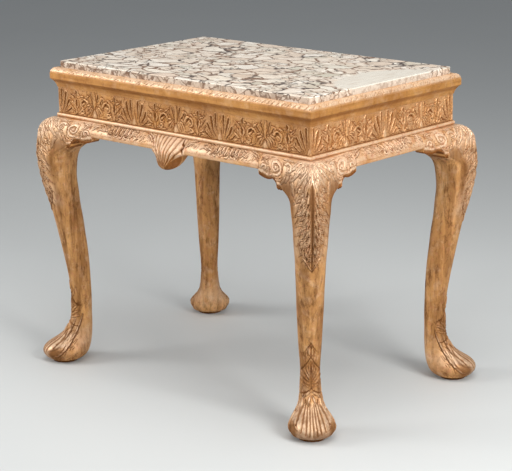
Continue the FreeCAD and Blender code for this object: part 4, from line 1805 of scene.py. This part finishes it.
@dataclass
class Cabriole:
    """Legs and knee brackets with acanthus knees and shell feet.

    Leaves are given by the control points of their spines, from the arris of the knee or the toe
    and up from the floor, and their half widths.
    """

    corner: Point
    wander: float = 0.40
    leg_voxel: float = 1.6
    bracket_voxel: float = 1.1
    groove_levels: Row = (384, 400, 440, 480, 520, 550, 570, 580, 588)
    groove_halves: Row = (1.0, 2.5, 5.0, 7.0, 9.0, 12.0, 11.0, 6.0, 1.0)
    lobe_levels: Row = (430, 452, 474, 497, 520, 544, 568)
    lobe: Spines = (
        (((0, -6), (4, -16), (8, -34)), 4.0),
        (((2, -3), (11, -9), (19, -32)), 4.4),
        (((4, 0), (18, -2), (31, -24)), 4.4),
        (((5, 4), (22, 8), (41, -12)), 4.2),
    )
    reach_levels: Row = (430, 480, 570)
    reach_shares: Row = (0.86, 1.10, 1.15)
    fan: Spines = (
        (((58, 592), (57, 572), (49, 544)), 4.6),
        (((5, 604), (13, 584), (24, 552)), 4.6),
        (((7, 612), (20, 590), (37, 554)), 5.0),
        (((9, 618), (28, 598), (50, 560)), 5.0),
        (((12, 622), (34, 610), (62, 578)), 4.6),
        (((26, 623), (46, 618), (72, 592)), 4.0),
        (((3, 622), (8, 608), (15, 588)), 3.4),
        (((14, 622), (22, 610), (34, 592)), 3.2),
    )
    tip_leaves: Spines = (
        (((22, 446), (19, 428), (7, 408)), 3.2),
        (((30, 440), (27, 424), (17, 414)), 2.6),
    )
    sprays: Spines = (
        (((48, 619), (80, 628), (112, 622)), 2.6),
        (((112, 621), (126, 619), (142, 611)), 2.4),
        (((112, 586), (122, 582), (136, 590)), 2.4),
        (((82, 586), (94, 572), (112, 580)), 2.8),
        (((74, 592), (82, 576), (94, 564)), 2.8),
        (((62, 594), (70, 582), (80, 574)), 2.8),
        (((122, 606), (128, 612), (140, 616)), 2.2),
        (((78, 616), (86, 610), (84, 596)), 2.4),
        (((122, 600), (126, 592), (122, 584)), 2.2),
    )
    volutes: Tuple[Tuple[Point, float, float, float, float], ...] = (
        ((101, 604), 17.0, 0.80, -1.40, 3.0),
        ((64, 607), 10.0, 0.10, 1.20, 2.4),
        ((135, 598), 8.0, 0.0, 1.20, 2.0),
    )
    ankle_leaves: Spines = (
        (((1, 182), (6, 192), (1, 210)), 2.2),
        (((6, 176), (11, 184), (10, 198)), 2.0),
        (((12, 168), (16, 176), (18, 188)), 2.0),
        (((3, 136), (4, 150), (3, 168)), 2.0),
        (((3, 132), (8, 146), (9, 163)), 2.2),
        (((3, 128), (12, 140), (15, 157)), 2.4),
        (((3, 123), (15, 132), (21, 150)), 2.4),
        (((3, 117), (17, 123), (25, 139)), 2.4),
        (((3, 111), (17, 114), (26, 125)), 2.4),
        (((2, 102), (10, 97), (20, 86)), 2.6),
        (((2, 92), (6, 86), (8, 74)), 2.2),
    )
    ankle_lines: Spines = (
        (((26, 140), (16, 155), (7, 167), (0, 180)), 2.0),
        (((15, 190), (7, 199), (0, 215)), 1.0),
        (((0, 172), (0, 140), (0, 108)), 2.0),
        (((26, 92), (10, 99), (0, 109)), 1.5),
        (((13, 84), (13.5, 81), (13, 78)), 2.4),
    )
    toe_lines: Spines = (
        (((0, 72), (0, 50), (0, 18)), 2.0),
        (((4, 78), (7, 52), (9, 20)), 2.2),
        (((8, 80), (14, 54), (18, 23)), 2.2),
        (((12, 80), (21, 56), (28, 29)), 2.2),
        (((16, 78), (28, 58), (39, 40)), 2.0),
    )
    flank_lines: Spines = (
        (((106, 122), (92, 78), (70, 34), (30, 14)), 1.8),
        (((88, 110), (72, 72), (50, 42), (14, 28)), 1.6),
        (((72, 100), (58, 72), (38, 54), (10, 42)), 1.5),
    )
    berries: Line = (
        (84, 613), (82, 600), (50, 600), (118, 596), (122, 613), (92, 582), (72, 598),
    )
    berry: float = 1.9
    border: Line = ((39, 446), (35, 420), (15, 402), (0, 384))
    arris_levels: Row = (386.0, 500.0, 580.0)
    lobe_sway: float = 2.5
    flecks: int = 46
    fleck_levels: Point = (418.0, 600.0)
    fleck_drop: float = 11.0
    flank_flecks: int = 56
    leafy: Cut = Cut(Section.ROUND, -0.3, 2.1, 1.9, 2.2, tint=0.66)
    line: Cut = Cut(Section.LINE, -2.0)
    fine: Cut = Cut(Section.LINE, -1.3, tint=0.65)
    toe: Cut = Cut(Section.LINE, -1.8, tint=0.80)
    vein: Cut = Cut(Section.LINE, -2.2, tint=0.95)
    pale_levels: Point = (540.0, 606.0)
    carved_top: Point = (623.0, 621.0)
    plain_top: Point = (625.0, 624.0)
    leafage_edge: Point = (58.0, 48.0)
    leafage_foot: Point = (392.0, 422.0)
    crown_levels: Point = (572.0, 588.0)
    plain_edge: Point = (46.0, 58.0)
    plain_levels: Point = (590.0, 570.0)
    dull_levels: Point = (330.0, 420.0)
    dull_shares: Point = (0.30, 0.62)
    ankle_level: float = 92.0
    ankle_top: float = 224.0
    flank_levels: Point = (10.0, 126.0)
    sole_level: float = 8.5
    foot_level: float = 120.0
    edge_band: float = 10.0
    edge_roll: float = 3.5
    edge_column: float = 3.0

    def dress(self, leg_material: Material, bracket_material: Material) -> None:
        """Makes the four legs and the eight brackets.

        Args:
            leg_material: Finish of the legs.
            bracket_material: Finish of the brackets.
        """
        leg = self._carved("leg_front_right", self.leg_voxel, True)
        bracket = self._carved("knee_bracket_front_right", self.bracket_voxel, False)
        across = Matrix.Diagonal((-1, 1, 1, 1))
        through = Matrix.Diagonal((1, -1, 1, 1))
        corners = {
            "front_right": Matrix.Identity(4),
            "front_left": across,
            "back_right": through,
            "back_left": through @ across,
        }
        swap = self._swap()
        for name, matrix in corners.items():
            end, hand = name.split("_")
            put_in_place(mirrored(leg, matrix), "carved_leg_" + name, "leg_" + name, leg_material)
            for node, turn in ((f"{end}_{hand}", matrix), (f"{hand}_{end}", matrix @ swap)):
                node = "knee_bracket_" + node
                put_in_place(mirrored(bracket, turn), "carved_" + node, node, bracket_material)

    def _swap(self) -> Matrix:
        """Makes the mirror in the upright plane through the corner's diagonal.

        Returns:
            Its matrix.
        """
        far_x, far_y = (value * MM for value in self.corner)
        swap = Matrix.Identity(4)
        swap[0][0], swap[0][1], swap[0][3] = 0, -1, far_x - far_y
        swap[1][0], swap[1][1], swap[1][3] = -1, 0, far_x - far_y
        return swap

    def _carved(self, node: str, voxel: float, with_foot: bool) -> Mesh:
        """Carves a piece of the front right corner.

        Args:
            node: CAD node to start from.
            voxel: Size of its faces, in millimetres.
            with_foot: Whether it is the leg with its foot, and not a bracket.

        Returns:
            The carved mesh.
        """
        mesh = even_copy(node, voxel)
        points = read_points(mesh)
        normals = read_points(mesh, "normal")
        out_x = points[:, 0] / MM - self.corner[0]
        out_y = -points[:, 1] / MM - self.corner[1]
        level = points[:, 2] / MM
        across = np.abs(out_x - out_y)
        outward = (normals[:, 0] - normals[:, 1]) * DIAGONAL
        front = rising(outward, 0.05, 0.30)
        knee = Carver(across, level, self.wander)
        self._knee(knee)
        self._scrolls(knee)
        knee.fade(front * rising(level, *self.carved_top))
        self._rub(knee, across, level, outward)
        if with_foot:
            plain = rising(across, *self.plain_edge) * rising(level, *self.plain_levels) * front
            dulled = np.interp(level, self.dull_levels, self.dull_shares) * plain
            knee.soil(dulled)
            self._foot(knee, across * DIAGONAL, rising(outward, -0.05, 0.15))
            sideways = np.abs(normals[:, 0] + normals[:, 1]) * DIAGONAL
            self._flanks(knee, (out_x + out_y) * DIAGONAL, rising(sideways, 0.50, 0.75))
        else:
            self._lower_edge(knee, front)
            # Painted shade on the faces that look down, which lose their pale gesso too.
            down = rising(normals[:, 2], -0.2, -0.5)
            knee.soil(down)
            knee.pale *= 1 - down
        knee.height *= rising(level, *self.plain_top)
        write_points(mesh, points + normals * knee.height[:, None] * MM, knee)
        return mesh

    def _rub(self, carver: Carver, across: Array, level: Array, outward: Array) -> None:
        """Bares the gesso towards the top of the knee, and paints a highlight on its crown.

        Args:
            carver: Carving of the knee so far.
            across: Distances from the arris.
            level: Heights above the floor.
            outward: How far each point faces out along the diagonal.
        """
        facing = np.maximum(rising(outward, -0.25, 0.25), 0.1)
        rise = rising(level, *self.pale_levels)
        leafage = rising(across, *self.leafage_edge) * rising(level, *self.leafage_foot)
        carver.proud *= 0.5 + 0.5 * rise
        carver.pale = np.maximum(rise, 0.45 * leafage) * facing
        # Painted highlight on the crown of the knee, on the faces turned out.
        crown = rising(level, *self.crown_levels) * np.clip(1.3 - across / 36, 0, 1)
        carver.rub(1.3 * crown * facing * (1 - carver.recess))

    def _knee(self, carver: Carver) -> None:
        """Carves half of the acanthus, from the arris down the knee.

        Args:
            carver: Surface, measured from the arris and up from the floor.
        """
        chance = np.random.default_rng(11)
        for level in self.lobe_levels:
            groove = np.interp(level - 8.0, self.groove_levels, self.groove_halves)
            reach = np.interp(level, self.reach_levels, self.reach_shares)
            sway = chance.uniform(-self.lobe_sway, self.lobe_sway)
            for points, width in self.lobe:
                spine = [(groove + reach * across, level + sway + up) for across, up in points]
                carver.leaf(spine, reach * width, self.leafy)
                carver.stroke(curve(spine), (0.4, 1.2, 0.8, 0.3), self.fine)
            eye = np.array([(groove + 3.0, level - 2.0), (groove + 4.0, level - 9.0)])
            carver.stroke(eye, (3.0, 2.0), self.line)
        for _ in range(self.flecks):
            level = chance.uniform(*self.fleck_levels)
            across = chance.uniform(9, np.interp(level, (418, 446, 480), (20, 32, 48)))
            lean = chance.uniform(2, 7)
            fleck = np.array([(across, level), (across + lean, level - self.fleck_drop)])
            carver.stroke(fleck, (0.8, 1.2), self.line)
        self._veined(carver, self.fan, (0.4, 1.1, 0.9, 0.4))
        border = curve(self.border, 14)
        carver.stroke(border + (0.0, 3.2), (1.4, 2.2, 2.4), self.leafy)
        carver.stroke(border, (1.0, 1.5, 1.8), self.line)
        self._veined(carver, self.tip_leaves, (0.4, 1.2, 0.5))
        levels = np.linspace(self.groove_levels[0], self.groove_levels[-1], 40)
        halves = np.interp(levels, self.groove_levels, self.groove_halves)
        carver.stroke(np.stack((0 * levels, levels), axis=1), halves, self.vein)
        arris = np.array([(0.0, level) for level in self.arris_levels])
        carver.stroke(arris, (1.2, 1.8, 0.8), self.line)

    def _veined(self, carver: Carver, spines: Spines, halves: Row) -> None:
        """Carves leaves with a fine vein down each.

        Args:
            carver: Surface to carve.
            spines: Spines of the leaves, and their half widths.
            halves: Half widths along a vein.
        """
        for points, width in spines:
            carver.leaf(points, width, self.leafy)
            carver.stroke(curve(points), halves, self.fine)

    def _scrolls(self, carver: Carver) -> None:
        """Carves the volutes and sprays of the bracket.

        Args:
            carver: Surface, measured from the arris and up from the floor.
        """
        self._veined(carver, self.sprays, (0.4, 1.0, 0.5))
        for eye, radius, start, turns, width in self.volutes:
            carver.scroll(eye, radius, start, turns, width, self.leafy)
        for place in self.berries:
            carver.berry(place, self.berry, self.line)

    def _lower_edge(self, carver: Carver, front: Array) -> None:
        """Rolls a bracket's scalloped lower edge under in painted shade, and outlines it.

        Args:
            carver: Carving of the bracket so far.
            front: How far each point faces out.
        """
        across, level = carver.points.T
        column = np.rint(across / self.edge_column).astype(int)
        lowest = np.full(column.max() + 1, np.inf)
        np.minimum.at(lowest, column[front > 0.3], level[front > 0.3])
        rise = np.where(np.isfinite(lowest[column]), level - lowest[column], 99.0)
        under = rising(rise, self.edge_band, self.edge_band - 4.0) * front
        carver.height = carver.height * (1 - under) - self.edge_roll * under
        # Painted highlight on the rim above the roll, painted shade under it, and a darker outline
        # above.
        rim = np.exp(-(((rise - 1.3 * self.edge_band) / 2.2) ** 2)) * front
        outline = np.exp(-(((rise - 1.8 * self.edge_band) / 1.4) ** 2)) * front
        shade_and_dirt = np.maximum(0.75 * under, 0.6 * outline)
        carver.recess = np.maximum(carver.recess * (1 - rim), shade_and_dirt)
        carver.proud = np.maximum(carver.proud * (1 - under), rim)
        carver.pale *= 1 - 0.7 * under

    def _foot(self, carver: Carver, slant: Array, front: Array) -> None:
        """Carves the leaf on the ankle and the ribs of the shell toe, with painted light and shade.

        Args:
            carver: Carving of the leg so far.
            slant: Distances from the upright plane through the toe.
            front: How far each point faces out.
        """
        level = carver.points[:, 1]
        leaf = Carver(slant, level, 0.4 * self.wander)
        for points, width in self.ankle_leaves:
            leaf.leaf(points, width, self.leafy)
        for points, width in self.ankle_lines:
            leaf.stroke(curve(points), (0.6 * width, width, width), self.line)
        for points, width in self.toe_lines:
            leaf.stroke(curve(points), (0.4 * width, width, 1.1 * width, 0.7 * width), self.toe)
        # Painted highlights on the ribs and along the toe's edge.
        ribs = rising(slant, 42, 34) * rising(level, 80, 68)
        edge = np.exp(-(((level - 34 - 0.35 * slant) / 6.0) ** 2)) * rising(slant, 12, 18)
        leaf.proud *= np.where(level > self.ankle_level, 0.25, 1.0)
        leaf.rub((1 - leaf.recess) * np.maximum(0.8 * ribs, 1.3 * edge))
        # Painted shade under the toe, and a darker band up the ankle.
        below = rising(level - 0.3 * slant, 26, 21)
        brown = rising(level, self.ankle_level, 102) * rising(level, 190, 170)
        leaf.soil(np.maximum(0.45 * below, 0.30 * brown))
        shown = front * (level < self.ankle_top)
        carver.height += leaf.height * shown
        carver.recess += leaf.recess * shown
        carver.proud += leaf.proud * shown
        share = rising(level, self.foot_level, self.foot_level - 60) * rising(level, 12, 52)
        carver.bare(0.5 * share)
        carver.recess[level < self.sole_level] = 1.0

    def _flanks(self, carver: Carver, along: Array, side: Array) -> None:
        """Carves the long lines on both sides of the foot.

        Args:
            carver: Carving of the leg so far.
            along: Distances out along the diagonal.
            side: How far each point faces sideways.
        """
        level = carver.points[:, 1]
        toe = along[level < 60].max()
        lines = Carver(toe - along, level, 0.4 * self.wander)
        for points, width in self.flank_lines:
            path = curve(points, 16)
            lines.stroke(path + (-1.5, 3.0), (0.5, 2.6, 3.0, 1.0), self.leafy)
            lines.stroke(path, (0.4 * width, width, width, 0.5 * width), self.toe)
        lines.flecks(self.flank_flecks, (12, 18), (96, 100), (-9, -8), self.toe)
        low, high = self.flank_levels
        shown = side * (level < high) * (level > low)
        # Painted shade in the flank lines and painted highlights beside them.
        carver.height += lines.height * shown
        carver.soil(lines.recess * shown)
        carver.rub(0.7 * lines.proud * shown)


class Interior:
    """Rails, bearers, pegs and glue blocks that the gilding doesn't reach, and the loose slab."""

    hidden: Tuple[str, ...] = ("rail_", "bearer_", "tenon_pegs", "corner_blocks", "bracket_blocks")

    def dress(self, wood: Material, stone: Material) -> None:
        """Finishes the CAD nodes that stay.

        Args:
            wood: Finish of the inner wood.
            stone: Finish of the slab.
        """
        for name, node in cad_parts.items():
            material = stone if name == "marble_top" else wood
            if name == "marble_top" or name.startswith(self.hidden):
                node.data.materials.clear()
                node.data.materials.append(material)
                log.info("%s: %s", name, material.name)


@dataclass(frozen=True)
class Lamp:
    """A soft light that faces the table: its place, the width of its square and its watts."""

    name: str
    place: Place
    size: float
    power: float
    colour: Colour = (1.0, 0.975, 0.94)
    aim: Place = (0.0, 0.0, 0.45)

    def hang(self) -> None:
        """Hangs the light."""
        light = bpy.data.lights.new(self.name, "AREA")
        light.size = self.size
        light.energy = self.power
        light.color = self.colour
        holder = bpy.data.objects.new(self.name, light)
        holder.location = self.place
        aim = Vector(self.aim) - Vector(self.place)
        holder.rotation_euler = aim.to_track_quat("-Z", "Y").to_euler()
        bpy.context.scene.collection.objects.link(holder)


@dataclass
class Studio:
    """Pale floor, soft lights and the camera."""

    azimuth: float = 42.57
    elevation: float = 15.0
    roll: float = -0.78
    distance: float = 4.129
    target: Place = (0.0, 0.0, 0.344)
    aim: Point = (0.00573, -0.00565)
    lens: float = 119.25
    sensor: float = 36.0
    floor_size: float = 12.0
    floor_colour: Colour = (0.648, 0.678, 0.690)
    floor_shade: float = 0.97
    floor_roughness: float = 0.6
    world_colour: Colour = (0.82, 0.84, 0.86)
    world_strength: float = 0.28
    lamps: Tuple[Lamp, ...] = (
        Lamp("top_light", (0.4, -0.4, 2.9), 2.4, 49.0),
        Lamp("left_light", (-2.4, -2.4, 1.7), 1.6, 62.0),
        Lamp("front_light", (2.3, -3.4, 2.3), 0.6, 14.0),
        Lamp("right_light", (2.8, -0.6, 1.7), 1.2, 68.0),
    )

    def build(self) -> None:
        """Makes the whole studio."""
        self._floor()
        self._world()
        for lamp in self.lamps:
            lamp.hang()
        self._camera()
        bpy.context.scene.view_settings.view_transform = "Standard"

    def _floor(self) -> None:
        """Makes the floor, faintly uneven in tone."""
        bm = bmesh.new()
        bmesh.ops.create_grid(bm, x_segments=1, y_segments=1, size=self.floor_size)
        mesh = bpy.data.meshes.new("floor")
        bm.to_mesh(mesh)
        bm.free()
        floor = bpy.data.objects.new("floor", mesh)
        bpy.context.scene.collection.objects.link(floor)
        material, sheet, shader = new_material("pale_floor")
        where = sheet.node("TexCoord").outputs["Object"]
        cloud = sheet.noise(where, 1.5, 2).outputs["Fac"]
        darker = tuple(self.floor_shade * part for part in self.floor_colour)
        sheet.feed(shader.inputs["Base Color"], sheet.blend(cloud, darker, self.floor_colour))
        shader.inputs["Roughness"].default_value = self.floor_roughness
        mesh.materials.append(material)

    def _world(self) -> None:
        """Fills the room with plain soft light."""
        world = bpy.data.worlds.new("studio")
        bpy.context.scene.world = world
        world.use_nodes = True
        background = world.node_tree.nodes["Background"]
        background.inputs["Color"].default_value = (*self.world_colour, 1)
        background.inputs["Strength"].default_value = self.world_strength

    def _camera(self) -> None:
        """Sets the camera where the photograph was taken from."""
        turn, rise, roll = (math.radians(a) for a in (self.azimuth, self.elevation, self.roll))
        back = Vector(
            (math.sin(turn) * math.cos(rise), -math.cos(turn) * math.cos(rise), math.sin(rise))
        )
        level = Vector((math.cos(turn), math.sin(turn), 0))
        upright = back.cross(level)
        right = level * math.cos(roll) + upright * math.sin(roll)
        up = upright * math.cos(roll) - level * math.sin(roll)
        target = Vector(self.target) + right * self.aim[0] + up * self.aim[1]
        data = bpy.data.cameras.new("camera")
        data.sensor_fit = "HORIZONTAL"
        data.sensor_width = self.sensor
        data.lens = self.lens
        camera = bpy.data.objects.new("camera", data)
        axes = Matrix((right, up, back)).transposed().to_4x4()
        camera.matrix_world = Matrix.Translation(target + back * self.distance) @ axes
        bpy.context.scene.collection.objects.link(camera)
        bpy.context.scene.camera = camera


def gildings() -> List[Gilding]:
    """Lists the finishes of the gilded pieces.

    Returns:
        Those of the cornice, the frieze, the apron and the legs.
    """
    cornice = Gilding(
        "cornice_gilding", rubbing=0.45, bole_show=0.2, streaks=0.50, grain=(0.08, 0.08, 1.5)
    )
    frieze = Gilding(
        "frieze_gilding", (0.660, 0.312, 0.086), (0.490, 0.210, 0.052),
        rubbed=(0.860, 0.560, 0.310), dirt=(0.250, 0.086, 0.015), rubbing=0.42,
        bole_show=0.30, streaks=0.20, matting=0.7, grain=(1.0, 1.0, 0.7),
    )
    apron = Gilding(
        "apron_gilding", bole=(0.560, 0.215, 0.120), rubbing=0.62, bole_show=0.55, metallic=0.25
    )
    leg = Gilding(
        "leg_gilding", (0.690, 0.365, 0.132), (0.500, 0.240, 0.078),
        bole=(0.500, 0.185, 0.095), dirt=(0.190, 0.073, 0.019), rubbing=0.65,
        bole_show=0.48, streaks=0.95,
    )
    return [cornice, frieze, apron, leg]


def main() -> None:
    """Builds every part of the table in order."""
    Studio().build()
    group = worn_leaf_group()
    cornice_gold, frieze_gold, apron_gold, leg_gold = (gold.make(group) for gold in gildings())
    Cornice().dress(cornice_gold)
    Frieze().dress(frieze_gold)
    Bead().dress(apron_gold)
    Apron().dress(apron_gold)
    ShellPendant().dress(apron_gold)
    front = table_sides()[0]
    Cabriole((front.run, front.face)).dress(leg_gold, apron_gold)
    Interior().dress(BareWood().make(), Breccia().make())


if __name__ == "__main__":
    main()
